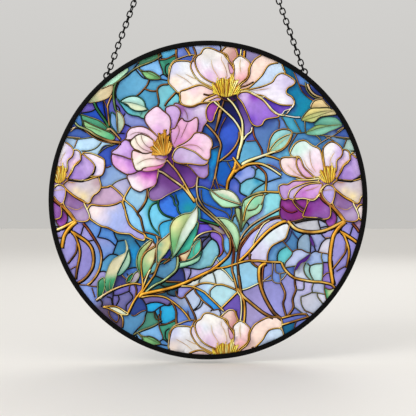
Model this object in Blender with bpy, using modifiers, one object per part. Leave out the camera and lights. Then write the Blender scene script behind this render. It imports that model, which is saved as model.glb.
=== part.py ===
"""Round stained-glass suncatcher, hung by a two-legged chain from a ring.

Frame: metres, +Z up, -Y is the front. The origin is the point inside the top of the hanging ring
where a hook or nail bears, so the disc hangs straight below it.
"""

import bmesh
import bpy
from math import cos, pi, radians, sin, tau
from mathutils import Matrix, Vector

MM = 0.001

# Driving dimensions.
RIM_RADIUS = 100.0 * MM
RIM_FACE = 3.1 * MM
RIM_DEPTH = 5.6 * MM
RIM_OUTER_WALL = 1.3 * MM
RIM_EDGE_BREAK = 0.6 * MM
GLASS_THICKNESS = 3.0 * MM
FIT_GAP = 0.3 * MM

DISC_DROP = 251.0 * MM
EYE_ANGLES = {"left": radians(-39.1), "right": radians(36.9)}
EYE_WIRE = 1.0 * MM
EYE_BEND_RADIUS = 2.0 * MM
EYE_FOOT = 0.4 * MM

LINK_WIRE = 0.85 * MM
LINK_WIDTH = 3.9 * MM
LINK_BITE = 0.06 * MM
LINKS_PER_LEG = 51
LINK_END_STEPS = 3
TWIST_SWING = radians(16.0)
TWIST_PERIOD = 17.0

RING_WIRE = 1.6 * MM
RING_RADIUS = 6.3 * MM

DISC_STEPS = 64
RING_STEPS = 24
RING_SIDES = 8
LINK_SIDES = 4
EYE_SIDES = 6
EYE_STEPS = 6
MERGE = 0.00002

# Places worked out from the dimensions above.
RING_CENTRE = Vector((0.0, 0.0, RING_WIRE / 2 - RING_RADIUS))
DISC_CENTRE = RING_CENTRE - Vector((0.0, 0.0, DISC_DROP))
GROOVE_RADIUS = RIM_RADIUS - RIM_OUTER_WALL
GROOVE_WIDTH = GLASS_THICKNESS + 2 * FIT_GAP
GLASS_RADIUS = GROOVE_RADIUS - FIT_GAP
FACING_FRONT = Matrix.Rotation(pi / 2, 4, "X")


def clear_scene():
    for old in list(bpy.data.objects):
        bpy.data.objects.remove(old)


def new_collection(name):
    made = bpy.data.collections.new(name)
    bpy.context.scene.collection.children.link(made)
    return made


def finish(name, colour, roughness, metallic=0.0, transmission=0.0):
    """A Principled material with the piece's own colour."""
    material = bpy.data.materials.new(name)
    material.use_nodes = True
    shader = material.node_tree.nodes["Principled BSDF"]
    shader.inputs["Base Color"].default_value = (*colour, 1.0)
    shader.inputs["Roughness"].default_value = roughness
    shader.inputs["Metallic"].default_value = metallic
    shader.inputs["Transmission Weight"].default_value = transmission
    return material


def add_object(name, data, material, collection, matrix=Matrix()):
    made = bpy.data.objects.new(name, data)
    data.materials.clear()
    data.materials.append(material)
    made.matrix_world = matrix
    collection.objects.link(made)
    return made


def smooth(mesh, sharp_angle=radians(40)):
    mesh.shade_smooth()
    mesh.set_sharp_from_angle(angle=sharp_angle)


def rim_profile():
    """The channel's section, with the radius as x and the depth as z.

    It runs down the outer wall, whose two edges are broken, and back up round the groove.
    """
    half = RIM_DEPTH / 2
    inner = RIM_RADIUS - RIM_FACE
    corner = RIM_RADIUS - RIM_EDGE_BREAK
    top = [(corner, half), (RIM_RADIUS, half - RIM_EDGE_BREAK)]
    bottom = [(x, -z) for x, z in reversed(top)]
    groove = [
        (inner, -half),
        (inner, -GROOVE_WIDTH / 2),
        (GROOVE_RADIUS, -GROOVE_WIDTH / 2),
        (GROOVE_RADIUS, GROOVE_WIDTH / 2),
        (inner, GROOVE_WIDTH / 2),
        (inner, half),
    ]
    return top + bottom + groove


def make_rim(material, collection):
    """The black channel ring that holds the glass: its section turned round the disc's axis."""
    profile = rim_profile()
    mesh = bpy.data.meshes.new("rim_channel")
    count = len(profile)
    edges = [(i, (i + 1) % count) for i in range(count)]
    mesh.from_pydata([(x, 0.0, z) for x, z in profile], edges, [])
    rim = add_object(
        "rim_channel", mesh, material, collection, Matrix.Translation(DISC_CENTRE) @ FACING_FRONT
    )
    turn = rim.modifiers.new("turn", "SCREW")
    turn.axis = "Z"
    turn.steps = turn.render_steps = DISC_STEPS
    turn.use_merge_vertices = True
    turn.merge_threshold = MERGE
    turn.use_smooth_shade = True
    return rim


def make_glass(material, collection):
    """The pane: a flat disc whose edge sits in the rim's groove."""
    bpy.ops.mesh.primitive_cylinder_add(
        vertices=DISC_STEPS, radius=GLASS_RADIUS, depth=GLASS_THICKNESS
    )
    primitive = bpy.context.object
    mesh = primitive.data
    bpy.data.objects.remove(primitive)
    mesh.name = "glass_disc"
    smooth(mesh)
    place = Matrix.Translation(DISC_CENTRE) @ FACING_FRONT
    return add_object("glass_disc", mesh, material, collection, place)


def wire_curve(points, diameter, sides, cyclic):
    """A round wire along points, as a curve with a bevel."""
    curve = bpy.data.curves.new("wire", "CURVE")
    curve.dimensions = "3D"
    curve.bevel_depth = diameter / 2
    curve.bevel_resolution = (sides - 4) // 2
    curve.use_fill_caps = not cyclic
    line = curve.splines.new("POLY")
    line.points.add(len(points) - 1)
    for point, place in zip(line.points, points):
        point.co = (*place, 1.0)
    line.use_cyclic_u = cyclic
    return curve


def as_mesh(curve, name, matrix=Matrix()):
    """The curve's tube as one mesh, with its caps welded on, placed by matrix."""
    holder = bpy.data.objects.new(name, curve)
    bpy.context.scene.collection.objects.link(holder)
    bpy.context.view_layer.update()
    graph = bpy.context.evaluated_depsgraph_get()
    mesh = bpy.data.meshes.new_from_object(holder.evaluated_get(graph))
    bpy.data.objects.remove(holder)
    work = bmesh.new()
    work.from_mesh(mesh)
    bmesh.ops.remove_doubles(work, verts=work.verts, dist=MERGE)
    bmesh.ops.transform(work, matrix=matrix, verts=work.verts)
    bmesh.ops.recalc_face_normals(work, faces=work.faces)
    work.to_mesh(mesh)
    work.free()
    mesh.name = name
    return mesh


def eye_centre(angle):
    """Where the middle of an eye's bend stands, just clear of the rim's outer wall."""
    reach = RIM_RADIUS + FIT_GAP + EYE_FOOT
    return DISC_CENTRE + Vector((reach * sin(angle), 0.0, reach * cos(angle)))


def make_eye(name, angle, material, collection):
    """A bent wire staple on the rim: two short feet joined by a half circle, in the disc's plane."""
    arc = [pi * k / EYE_STEPS for k in range(EYE_STEPS + 1)]
    bend = [(EYE_BEND_RADIUS * cos(t), 0.0, EYE_BEND_RADIUS * sin(t)) for t in arc]
    feet = [(EYE_BEND_RADIUS, 0.0, -EYE_FOOT), (-EYE_BEND_RADIUS, 0.0, -EYE_FOOT)]
    curve = wire_curve([feet[0], *bend, feet[1]], EYE_WIRE, EYE_SIDES, cyclic=False)
    lean = Matrix.Rotation(angle, 4, "Y")
    mesh = as_mesh(curve, name, Matrix.Translation(eye_centre(angle)) @ lean)
    smooth(mesh)
    return add_object(name, mesh, material, collection)


def link_outline(pitch):
    """A link's centreline in its own XZ plane: two half circles joined by straight sides."""
    radius = (LINK_WIDTH - LINK_WIRE) / 2
    inner_length = pitch - LINK_BITE
    straight = (inner_length + LINK_WIRE) / 2 - radius
    turns = [pi * k / LINK_END_STEPS for k in range(LINK_END_STEPS + 1)]
    top = [(radius * cos(t), 0.0, straight + radius * sin(t)) for t in turns]
    bottom = [(-x, 0.0, -z) for x, _, z in top]
    return top + bottom


def joined(meshes, name):
    work = bmesh.new()
    for mesh in meshes:
        work.from_mesh(mesh)
    made = bpy.data.meshes.new(name)
    work.to_mesh(made)
    work.free()
    return made


def make_chain_leg(name, angle, material, collection, cutters):
    """One leg of the chain, drawn taut from its eye to the ring.

    Each link is a quarter turn from the next and bites LINK_BITE into it, where the two really
    bear on each other, so that the leg is one solid.
    """
    foot = eye_centre(angle)
    along = (RING_CENTRE - foot).normalized()
    first = EYE_BEND_RADIUS - EYE_WIRE / 2 - FIT_GAP - LINK_WIRE / 2
    last = (RING_CENTRE - foot).length - (RING_RADIUS - RING_WIRE / 2 - FIT_GAP - LINK_WIRE / 2)
    pitch = (last - first - LINK_WIRE + LINK_BITE) / LINKS_PER_LEG
    start = first + (pitch - LINK_BITE + LINK_WIRE) / 2
    lean = Vector((0.0, 0.0, 1.0)).rotation_difference(along).to_matrix().to_4x4()
    outline = link_outline(pitch)
    links = []
    for i in range(LINKS_PER_LEG):
        fade = sin(pi * i / (LINKS_PER_LEG - 1))
        swing = TWIST_SWING * fade * sin(tau * i / TWIST_PERIOD)
        spin = Matrix.Rotation(pi / 2 * ((i + 1) % 2) + swing, 4, "Z")
        place = Matrix.Translation(foot + along * (start + i * pitch)) @ lean @ spin
        curve = wire_curve(outline, LINK_WIRE, LINK_SIDES, cyclic=True)
        links.append(as_mesh(curve, "link", place))
    leg = add_object(name, joined(links[0::2], name), material, collection)
    others = add_object(name + "_others", joined(links[1::2], name), material, cutters)
    others.hide_render = True
    others.display_type = "WIRE"
    union = leg.modifiers.new("bearing", "BOOLEAN")
    union.operation = "UNION"
    union.object = others
    return leg


def make_ring(material, collection):
    """The round wire ring that goes over a hook, upright in the disc's plane."""
    bpy.ops.mesh.primitive_torus_add(
        major_segments=RING_STEPS,
        minor_segments=RING_SIDES,
        major_radius=RING_RADIUS,
        minor_radius=RING_WIRE / 2,
    )
    primitive = bpy.context.object
    mesh = primitive.data
    bpy.data.objects.remove(primitive)
    mesh.name = "hanging_ring"
    mesh.shade_smooth()
    place = Matrix.Translation(RING_CENTRE) @ FACING_FRONT
    return add_object("hanging_ring", mesh, material, collection, place)


def main():
    clear_scene()
    suncatcher = new_collection("suncatcher")
    cutters = new_collection("cutters")
    black = finish("black_enamelled_steel", (0.012, 0.011, 0.011), 0.45, metallic=0.4)
    wire = finish("blackened_steel_wire", (0.02, 0.019, 0.018), 0.4, metallic=0.8)
    glass = finish("painted_glass", (0.33, 0.38, 0.68), 0.12, transmission=0.4)
    make_rim(black, suncatcher)
    make_glass(glass, suncatcher)
    for word, angle in EYE_ANGLES.items():
        make_eye(f"eye_{word}", angle, wire, suncatcher)
        make_chain_leg(f"chain_{word}", angle, wire, suncatcher, cutters)
    make_ring(wire, suncatcher)


main()
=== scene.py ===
"""Looks of the round stained glass suncatcher: an enamelled pane in a black rim, hung by a chain.

The pane's picture is worked out in millimetres in the drawing plane, where u runs right and v runs
up from the middle of the disc and height stands out of the glass towards the viewer. The picture is
a list of blades (petals and leaves) and strokes (stems, folds, the lines between ground cells) from
back to front. It repeats like a printed paper, so what is drawn once is laid again wherever its
repeats reach the disc. The visible lines cut the pane into cells, and each cell's corners take the
enamel's colour with painted shade beside the lines and painted shadows under the blades. The lines
themselves are raised gold beads with painted highlight and shade, over black traces that are set
towards the lower right so that they also stand for the beads' shadows.
"""

from dataclasses import dataclass

import bpy
import numpy as np
from mathutils import Matrix, Vector
from mathutils.geometry import delaunay_2d_cdt


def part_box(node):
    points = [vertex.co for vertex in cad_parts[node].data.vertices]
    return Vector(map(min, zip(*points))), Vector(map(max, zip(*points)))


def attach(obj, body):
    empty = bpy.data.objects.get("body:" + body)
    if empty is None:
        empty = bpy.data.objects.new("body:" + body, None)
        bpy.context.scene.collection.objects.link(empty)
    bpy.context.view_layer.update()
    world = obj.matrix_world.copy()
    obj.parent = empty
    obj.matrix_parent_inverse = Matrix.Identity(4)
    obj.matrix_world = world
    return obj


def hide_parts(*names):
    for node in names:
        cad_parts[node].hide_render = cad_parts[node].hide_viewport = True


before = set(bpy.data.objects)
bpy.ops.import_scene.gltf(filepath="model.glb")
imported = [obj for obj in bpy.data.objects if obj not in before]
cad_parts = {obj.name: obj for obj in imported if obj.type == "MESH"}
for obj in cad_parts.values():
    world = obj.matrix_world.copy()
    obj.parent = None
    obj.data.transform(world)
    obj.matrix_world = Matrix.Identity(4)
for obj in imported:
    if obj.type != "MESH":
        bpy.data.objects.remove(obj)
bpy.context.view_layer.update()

MM = 0.001

# Places and sizes taken from the frame.
rim_low, rim_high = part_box("rim_channel")
glass_low, glass_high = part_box("glass_disc")
ring_low, ring_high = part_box("hanging_ring")
DISC_CENTRE = (rim_low + rim_high) / 2
RIM_RADIUS = (rim_high.x - rim_low.x) / 2
RIM_HALF_DEPTH = (rim_high.y - rim_low.y) / 2
GLASS_RADIUS_MM = (glass_high.x - glass_low.x) / 2 / MM
GLASS_FACE_MM = (glass_high.y - glass_low.y) / 2 / MM
RING_CENTRE = (ring_low + ring_high) / 2
RING_WIRE = ring_high.y - ring_low.y
RING_RADIUS = (ring_high.x - ring_low.x - RING_WIRE) / 2

# Sizes of the rim, eyes and chain that the CAD model also uses.
RIM_FACE = 3.1 * MM
RIM_OUTER_WALL = 1.3 * MM
GROOVE_HALF_WIDTH = 1.8 * MM
FIT_GAP = 0.3 * MM
EYE_ANGLES = {"left": np.radians(-39.1), "right": np.radians(36.9)}
EYE_WIRE = 1.0 * MM
EYE_BEND_RADIUS = 2.0 * MM
EYE_FOOT = 0.4 * MM
LINK_WIRE = 0.85 * MM
LINK_WIDTH = 3.9 * MM
LINK_BITE = 0.06 * MM
LINKS_PER_LEG = 51
TWIST_SWING = np.radians(16.0)
TWIST_PERIOD = 17.0
RIM_STEPS = 288

# The picture, in millimetres of the drawing plane.
REPEAT = np.array([168.9, 166.4])
STATION = 0.8
FINE_WIDTH = 0.52
# How far from the middle the beads and the cuts between colours run, and how far a cut is carried on.
BEAD_LIMIT = 96.6
CUT_LIMIT = 99.4
JOIN = 2.4
# The pane's mesh: the distance between its inner points, how far they keep from the lines and the
# border, the distance within which points become one, and the border's corners.
GRAIN = 1.25
FROM_LINE = 0.62
FROM_BORDER = 0.6
WELD = 0.015
BORDER_STEPS = 720
# The enamel's swell between the lines, and where it runs out before the rim.
SWELL = 0.22
SWELL_END = (94.0, 96.5)
# A cell whose own radius is over this blends its patches, and a spot is in a cell if it is this near.
WIDE_CELL = 12.5
KNOWN_WITHIN = 1.5
# How far under a blade its soft shadow reaches, step by step.
SHADOW_STEPS = ((-0.7, 0.8), (-1.3, 1.6), (-1.8, 2.6))
SEED = 11

rng = np.random.default_rng(SEED)


# ---------------------------------------------------------------- colours


def shade(code):
    """An sRGB hex code as three numbers from 0 to 1."""
    return np.array([int(code[k : k + 2], 16) for k in (0, 2, 4)]) / 255


def linear(srgb):
    """The sRGB curve undone: a straight toe, and a power of 2.4 above it."""
    return np.where(srgb <= 0.04045, srgb / 12.92, ((srgb + 0.055) / 1.055) ** 2.4)


def rgba(code):
    return (*linear(shade(code)), 1.0)


def mix(first, second, share):
    share = np.asarray(share)[..., None]
    return first * (1 - share) + second * share


def ease(value, low, high):
    """0 below low and 1 above high, with a smooth cubic step between."""
    t = np.clip((value - low) / (high - low), 0, 1)
    return t * t * (3 - 2 * t)


def ripple(points, size, turn=0.0):
    """A smooth field between 0 and 1: the product of two crossed sines, each bent by the other."""
    u, v = points[..., 0] / size, points[..., 1] / size
    first = np.sin(2.1 * u + 1.3 * np.sin(1.7 * v + turn) + turn)
    second = np.sin(1.9 * v + 1.2 * np.sin(1.4 * u - turn) + 2.3 * turn)
    return 0.5 + 0.5 * first * second


def ramp(tones, share):
    """Colours along evenly spaced tones, eased between each two."""
    share = np.clip(share, 0, 1) * (len(tones) - 1)
    step = np.clip(share.astype(int), 0, len(tones) - 2)
    return mix(tones[step], tones[step + 1], ease(share - step, 0, 1))


def tones_of(codes):
    return np.array([shade(code) for code in codes.split()])


# ---------------------------------------------------------------- plane curves


def resampled(path, spacing):
    """The same path with stations at an even distance along it."""
    steps = np.hypot(*np.diff(path, axis=0).T)
    along = np.concatenate([[0], np.cumsum(steps)])
    at = np.linspace(0, along[-1], max(int(np.ceil(along[-1] / spacing)), 2) + 1)
    return np.column_stack([np.interp(at, along, path[:, 0]), np.interp(at, along, path[:, 1])])


def smooth_path(points, spacing=STATION, closed=False):
    """A Catmull-Rom curve: each stretch is a cubic whose slope at a point follows its neighbours."""
    points = np.array(points, float)
    guide = np.vstack([2 * points[0] - points[1], points, 2 * points[-1] - points[-2]])
    if closed:
        guide = points[np.arange(-1, len(points) + 2) % len(points)]
    t = np.linspace(0, 1, 12, endpoint=False)[:, None]
    stretches = []
    for before, start, end, after in zip(guide, guide[1:], guide[2:], guide[3:]):
        bend = 2 * before - 5 * start + 4 * end - after
        twist = -before + 3 * start - 3 * end + after
        stretches.append(start + 0.5 * t * (end - before + t * (bend + t * twist)))
    return resampled(np.vstack([*stretches, guide[-2:-1]]), spacing)


def inside(points, outline):
    """Even-odd rule: a ray to the right from an inside point crosses the outline an odd number of times."""
    found = np.zeros(len(points), bool)
    near = np.flatnonzero(((points > outline.min(0)) & (points < outline.max(0))).all(1))
    u, v = points[near].T
    start, end = outline[:-1], outline[1:]
    level = start[:, 1] != end[:, 1]
    start, end = start[level], end[level]
    spans = (start[:, 1] > v[:, None]) != (end[:, 1] > v[:, None])
    slope = (end[:, 0] - start[:, 0]) / (end[:, 1] - start[:, 1])
    crossing = start[:, 0] + (v[:, None] - start[:, 1]) * slope
    found[near] = (spans & (u[:, None] < crossing)).sum(1) % 2 == 1
    return found


def nearest_distance(points, marks, limit):
    """Distance from each point to its nearest mark, no more than limit, strip by strip across u."""
    found = np.full(len(points), float(limit))
    marks = marks[np.argsort(marks[:, 0])]
    for part in np.array_split(np.argsort(points[:, 0]), 120):
        ends = points[part[[0, -1]], 0] + [-limit, limit]
        near = marks[slice(*np.searchsorted(marks[:, 0], ends))]
        if len(near):
            gaps = np.linalg.norm(points[part, None] - near, axis=2)
            found[part] = np.minimum(found[part], gaps.min(1))
    return found


# ---------------------------------------------------------------- blades and strokes


@dataclass
class Blade:
    """A petal: an outline about an arched axis from base to tip, coloured along and across it.

    bow is how far the axis stands to the left of the straight line from base to tip. tones run from
    base to tip, and right tints the right side. A petal that is no plain oval has a shape, its own
    outline through a few points, and the axis only guides its colours. tints are soft spots of
    another colour: where, how wide and which. creases are thin lines of the edge's tone.
    """

    base: tuple
    tip: tuple
    width: float
    tones: str
    bow: float = 0.0
    widest: float = 0.62
    blunt: float = 2.6
    foot: float = 0.22
    right: str = ""
    shape: tuple = ()
    tints: tuple = ()
    creases: tuple = ()
    edge: str = "gilt"
    line: float = 0.68

    def axis(self):
        """Length, radius, heading and centre of the arc through base and tip that bow asks for."""
        base, tip = np.array(self.base, float), np.array(self.tip, float)
        chord = np.hypot(*(tip - base))
        turn = -4 * np.arctan(2 * (self.bow or 1e-3) / chord)
        radius = chord / (2 * np.sin(turn / 2))
        heading = np.arctan2(*(tip - base)[::-1]) - turn / 2
        centre = base + radius * np.array([-np.sin(heading), np.cos(heading)])
        return radius * turn, radius, heading, centre

    def placed(self, along, aside):
        """Points of the plane from distances along the arched axis and to its left."""
        _, radius, heading, centre = self.axis()
        angle = heading + along / radius
        reach = (radius - aside)[..., None]
        return centre + reach * np.stack([np.sin(angle), -np.cos(angle)], -1)

    def local(self, points):
        """The inverse of placed: share of the length, and side from -1, right, to 1, left."""
        length, radius, heading, centre = self.axis()
        side = np.sign(radius)
        gap = (points - centre) * side
        angle = np.arctan2(gap[..., 1], gap[..., 0]) + np.pi / 2 - heading
        angle = (angle + np.pi) % (2 * np.pi) - np.pi
        aside = radius - side * np.hypot(gap[..., 0], gap[..., 1])
        return angle * radius / length, aside / (self.width / 2)

    def outline(self):
        """The half width rises by a sine to its widest place and falls by a superellipse to the tip."""
        if self.shape:
            return smooth_path(self.shape, closed=True)
        length = self.axis()[0]
        waist = self.widest * length
        rise = np.linspace(0, 1, 16)
        fall = np.linspace(0, np.pi / 2, 24)[1:]
        along = np.concatenate([waist * rise, waist + (length - waist) * np.sin(fall) ** (2 / self.blunt)])
        swell = self.foot + (1 - self.foot) * np.sin(np.pi / 2 * rise)
        half = np.concatenate([swell, np.cos(fall).clip(0) ** (2 / self.blunt)])
        along = np.concatenate([along, along[-2::-1]])
        side = np.concatenate([half, -half[-2::-1]])
        path = self.placed(along, side * self.width / 2)
        return resampled(np.vstack([path, path[:1]]), STATION)

    def crease_paths(self):
        for crease in self.creases:
            yield smooth_path(crease)

    def tinted(self, points, colour):
        """The colour with its soft spots: each fades by a Gauss curve from its middle."""
        for u, v, radius, code in self.tints:
            gap = np.hypot(points[..., 0] - u, points[..., 1] - v)
            colour = mix(colour, shade(code), 0.9 * np.exp(-((gap / radius) ** 2)))
        return colour

    def paint(self, points):
        share, side = self.local(points)
        colour = ramp(tones_of(self.tones), share)
        if self.right:
            colour = mix(colour, shade(self.right), 0.85 * ease(-side, -0.1, 0.95))
        fan = side / (0.35 + 0.65 * np.clip(share, 0, 1))
        veins = np.sin(23 * fan + 3 * np.sin(2 * fan)) * ease(share, 0.05, 0.4) * (1 - ease(share, 0.7, 1))
        return self.tinted(points, colour) * (1 + 0.02 * veins)[..., None]


@dataclass
class Leaf(Blade):
    """A pointed oval, with a rib where one shows, whose left and right halves have their own tones."""

    widest: float = 0.45
    blunt: float = 1.45
    foot: float = 0.0
    edge: str = "sage"
    line: float = 0.6
    other: str = ""
    rib: bool = False

    def crease_paths(self):
        if self.rib:
            share = np.linspace(0.0, 0.94, 30)
            yield resampled(self.placed(share * self.axis()[0], 0 * share), STATION)
        yield from super().crease_paths()

    def paint(self, points):
        share, side = self.local(points)
        left = ramp(tones_of(self.tones), share)
        right = ramp(tones_of(self.other or self.tones), share)
        colour = mix(right, left, ease(side, -0.08, 0.08))
        return self.tinted(points, colour) * (0.94 + 0.1 * ease(np.abs(side), 0.1, 0.8))[..., None]


@dataclass
class Stroke:
    """A raised line through chosen points. Its width runs from start to end, and so does its tone
    where two are named."""

    points: tuple
    start: float
    end: float
    tone: str = "gilt"

    def path(self):
        return smooth_path(self.points)


def vine(tone, start, end, *points):
    return Stroke(points, start, end, tone)


def fine(tone, *paths):
    """Thin lines between ground cells, all of one tone."""
    return [Stroke(points, FINE_WIDTH, FINE_WIDTH, tone) for points in paths]


# The peach, white and violet flower under the top of the rim, from back to front.
TOP_FLOWER = [
    Blade((8, 66), (20, 70), 12, "3a1050 4a1a5a 3a1050", widest=0.5, blunt=2, foot=0.5, edge="umber"),
    Blade((12.5, 88), (14, 97.5), 8, "dca8a4 ecccc0 f0d4c4", right="d09494",
        shape=((8, 93), (12, 97), (14.5, 97.6), (16.5, 97), (17.3, 94.5), (18.3, 92), (18, 89.5),
        (15.5, 84), (13.5, 84), (12.3, 90), (10.5, 92))),
    Blade((20, 70), (45, 91), 10, "f6cfc6 fbe0d4 fce4da",
        shape=((19, 70), (21, 73), (24, 75.4), (26, 79), (26, 82.4), (27.5, 86), (30, 89), (36, 92.4),
        (39.5, 93), (43, 93), (45.5, 92), (46.4, 90), (46, 87), (42, 85), (38, 80), (30, 73), (24, 69.5))),
    Blade((24, 70), (47.5, 84), 10.5, "b8d8f0 c4d6f2 c9e0f6",
        shape=((21, 69), (26, 71), (32, 76.5), (34.5, 79.5), (36.5, 83), (38.5, 85), (42, 86), (45, 86),
        (46.6, 84.6), (47.4, 82), (48.3, 80), (46, 76), (40, 70), (28, 67))),
    Blade((31, 67), (54, 60), 10, "4a2a9a 5a3ab0 8a60d4", edge="ivory",
        shape=((28, 67), (34, 64.5), (39, 67), (46, 66), (52, 64), (54, 61.5), (53.5, 59), (51, 57),
        (48, 56), (46.5, 54), (44, 54), (41.5, 55.6), (36.5, 61.3), (33.5, 64))),
    Blade((22, 68.5), (54, 68), 19.5, "eae4f6 e6def4 d6ccec",
        tints=((50, 74, 5, "d0c6ea"), (46, 62, 5, "f8f6fc"), (38, 67, 5, "f2eefa"), (36, 72, 3, "e0d6f2")),
        creases=(((26, 69), (31, 69), (38.5, 70)),),
        shape=((22, 68.6), (28, 70), (32.5, 71), (38, 73), (40.5, 74.5), (42, 77), (44, 79), (47.5, 79.6),
        (53.5, 76), (54.6, 74), (53, 72), (50.3, 70.6), (49, 68.5), (49.6, 66.7), (52.4, 65), (54, 62.6),
        (54, 60), (52, 59.6), (45.5, 60), (38.5, 63), (34, 65.6), (27, 67))),
    Blade((15, 66), (26, 41.5), 7.5, "2a1048 5a4090 8478c0", edge="black", line=0.4,
        shape=((15.5, 65.5), (18.5, 60), (21.5, 48), (22, 42.5), (24, 40), (27.3, 46), (26.5, 50), (22, 62),
        (19, 65.6))),
    Blade((18.5, 66.5), (38, 48), 18.5, "cdb0e4 a078d6 9468d2",
        tints=((22.5, 64, 3.4, "d4b8ea"), (29, 65.2, 3, "7a2ab0"), (27.5, 50.5, 3.2, "7448c4"),
        (37, 54, 4, "9c70dc")),
        shape=((18.3, 65), (20, 67.3), (23.5, 68), (27, 67), (34.5, 62.5), (39.5, 56.6), (42.4, 54.3),
        (44.7, 53), (43, 52), (37, 51), (35, 49.5), (34, 47.6), (32, 46.5), (29.5, 46.6), (27.5, 48),
        (26, 50.5), (25, 53.5), (21.5, 61))),
    Blade((6.5, 63), (0.5, 49), 6.5, "84309a 9a48ac 8a48b0",
        shape=((5, 62.3), (1, 60.6), (-1, 57.5), (-1.3, 54), (-0.4, 50.4), (1.6, 49), (3.4, 50.4), (4, 53),
        (5.5, 56.4), (7, 60))),
    Blade((4, 69.5), (-25, 78), 19, "f6efee f4f2f6 e8ecf8",
        tints=((-20, 84.5, 4.5, "c6ccf2"), (-23, 80, 3.5, "ccd0f0"), (-15, 85, 4, "ecf1f6"),
        (-21, 74, 4.5, "fbe0cc"), (-8, 74, 4, "fdf4ea")),
        creases=(((-14, 79), (-9, 76.5), (-4.5, 75)), ((-20, 79), (-14.5, 76), (-10, 72.4))),
        shape=((-7.5, 90.5), (-10.5, 86.6), (-12.6, 87.3), (-19, 87.4), (-22, 86), (-23.6, 83), (-25, 75),
        (-24, 72.5), (-21.5, 70), (-19.3, 67.6), (-17.6, 67.7), (-16, 69), (-13, 70), (-6, 72.3), (1, 70),
        (5, 67), (7, 72), (0, 80))),
    Blade((6, 66), (-18, 62.5), 11, "f0c8cc f6dcd6 f8ecd8",
        tints=((-6, 61.8, 4, "fdf6e4"), (-13, 60.3, 4, "fdf4e4"), (-9, 69, 4, "eed0dc"),
        (-16, 64, 3, "f6d8cc")),
        shape=((7, 64), (4.5, 68.3), (0, 70.6), (-3, 72), (-7, 72), (-14, 69.4), (-17, 68.6), (-18, 67),
        (-17.6, 65), (-17.6, 62.5), (-16, 60), (-10.5, 59), (-5, 61), (2.5, 62))),
    Blade((5, 72), (-10, 86.5), 4.5, "fbf0ea f6f0f4 ecdcee",
        creases=(((-5.4, 74), (4, 69.4)),),
        shape=((-9.4, 87.6), (-10.7, 86), (-11, 83.6), (-9.6, 80), (-7.6, 77), (-5, 74.6), (0, 72),
        (5, 69.6), (6, 73), (1, 77), (-4, 83))),
    Blade((8, 70), (1, 95.5), 22, "ecc9e4 f2e6f0 fbf4ee",
        tints=((1, 78, 4, "e2bce6"), (-2, 87, 4, "dfe8f6"), (-6.5, 85, 3, "ecd4ea"), (3, 91.5, 5, "faf8f4"),
        (13, 82, 4, "fbe8dc"), (9, 76, 3.5, "f8d8dc")),
        creases=(((8.5, 90.3), (8.4, 88), (10, 85), (11.5, 81), (12, 77)), ((2, 88), (3, 83), (6, 78),
        (8, 75))),
        shape=((-8.3, 88), (-8, 85), (-6.4, 81), (-3.5, 77.5), (0.3, 75), (5, 73), (9, 70), (14, 72),
        (16, 77), (16, 83), (11, 90), (9.3, 92.3), (6.5, 93.4), (3, 95), (0, 95.7), (-2.3, 95.3),
        (-3.6, 94), (-4.7, 92), (-7, 90.6))),
    Blade((18, 72), (21.5, 91), 11, "f4c0c0 fae0e0 fcfaf8", line=0.55, right="f8d0d0",
        tints=((19, 86, 4, "fbf9f6"), (17, 80, 3, "f8f0f0"), (21, 76, 4, "f0b0b6")),
        creases=(((20.3, 88.6), (20, 84), (20.6, 80)),),
        shape=((15.6, 87), (18, 89.7), (19.7, 90.6), (22, 90), (26, 86.5), (26, 84.5), (25.3, 82.5),
        (24.5, 77.5), (20, 73.5), (16.5, 71), (15.6, 76), (16, 79), (16.3, 83))),
    Blade((14, 79), (13.5, 86), 2.6, "d8a0c8 e4b0cc ecc4d4", edge="bronze", line=0.45,
        shape=((12.7, 86.5), (16, 81.6), (15.4, 79.6), (14, 79.3), (13, 83))),
    Blade((7, 63.6), (0, 62.3), 2, "d0a8d8 d8b8e0 dcc4e4", line=0.5,
        shape=((0, 62), (5, 64.4), (8, 64), (7, 62.4), (3.4, 62))),
    vine("sand", 0.8, 0.8, (-25, 75.5), (-24.6, 79), (-24.6, 82.3), (-23, 85.6), (-20.3, 88), (-12, 91),
        (-7.5, 91)),
    vine("gilt", 0.9, 0.7, (-4.3, 61.3), (-2, 63.6), (1, 65), (5, 66.6)),
    vine("bronze", 0.8, 0.7, (-3, 66.6), (0.5, 66), (5, 67)),
    vine("pale", 0.9, 0.9, (20, 68), (24.5, 68.5), (28, 67.3), (34.5, 63), (39.5, 57.5), (42.5, 55),
        (45.5, 53.3), (48.3, 53.3)),
    vine("ivory", 0.9, 0.9, (48.4, 53), (54.6, 52), (58, 52)),
    vine("ivory", 0.6, 0.6, (54, 62.6), (53.4, 59.6), (49.4, 54)),
    vine("bronze", 0.8, 0.6, (20, 71), (24, 72), (28.5, 74.4)),
    vine("sand", 0.8, 0.8, (46, 86.6), (47.6, 82)),
    # Its pale stems, which run down together into the blue.
    vine("pale", 1.2, 1.5, (3.5, 62), (13, 53.6), (17, 49.4), (20, 44.4), (21, 39.5)),
    vine("pale", 1.2, 1.6, (12, 64), (16, 60), (20, 53), (21.5, 48), (21.6, 39)),
    vine("pale", 0.9, 1.1, (27.6, 46), (27, 43), (24.5, 41), (22, 37.5)),
    vine("pale", 2.5, 1.7, (21.6, 40.6), (21, 36), (19.4, 30.5), (18.3, 25.5)),
]

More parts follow.
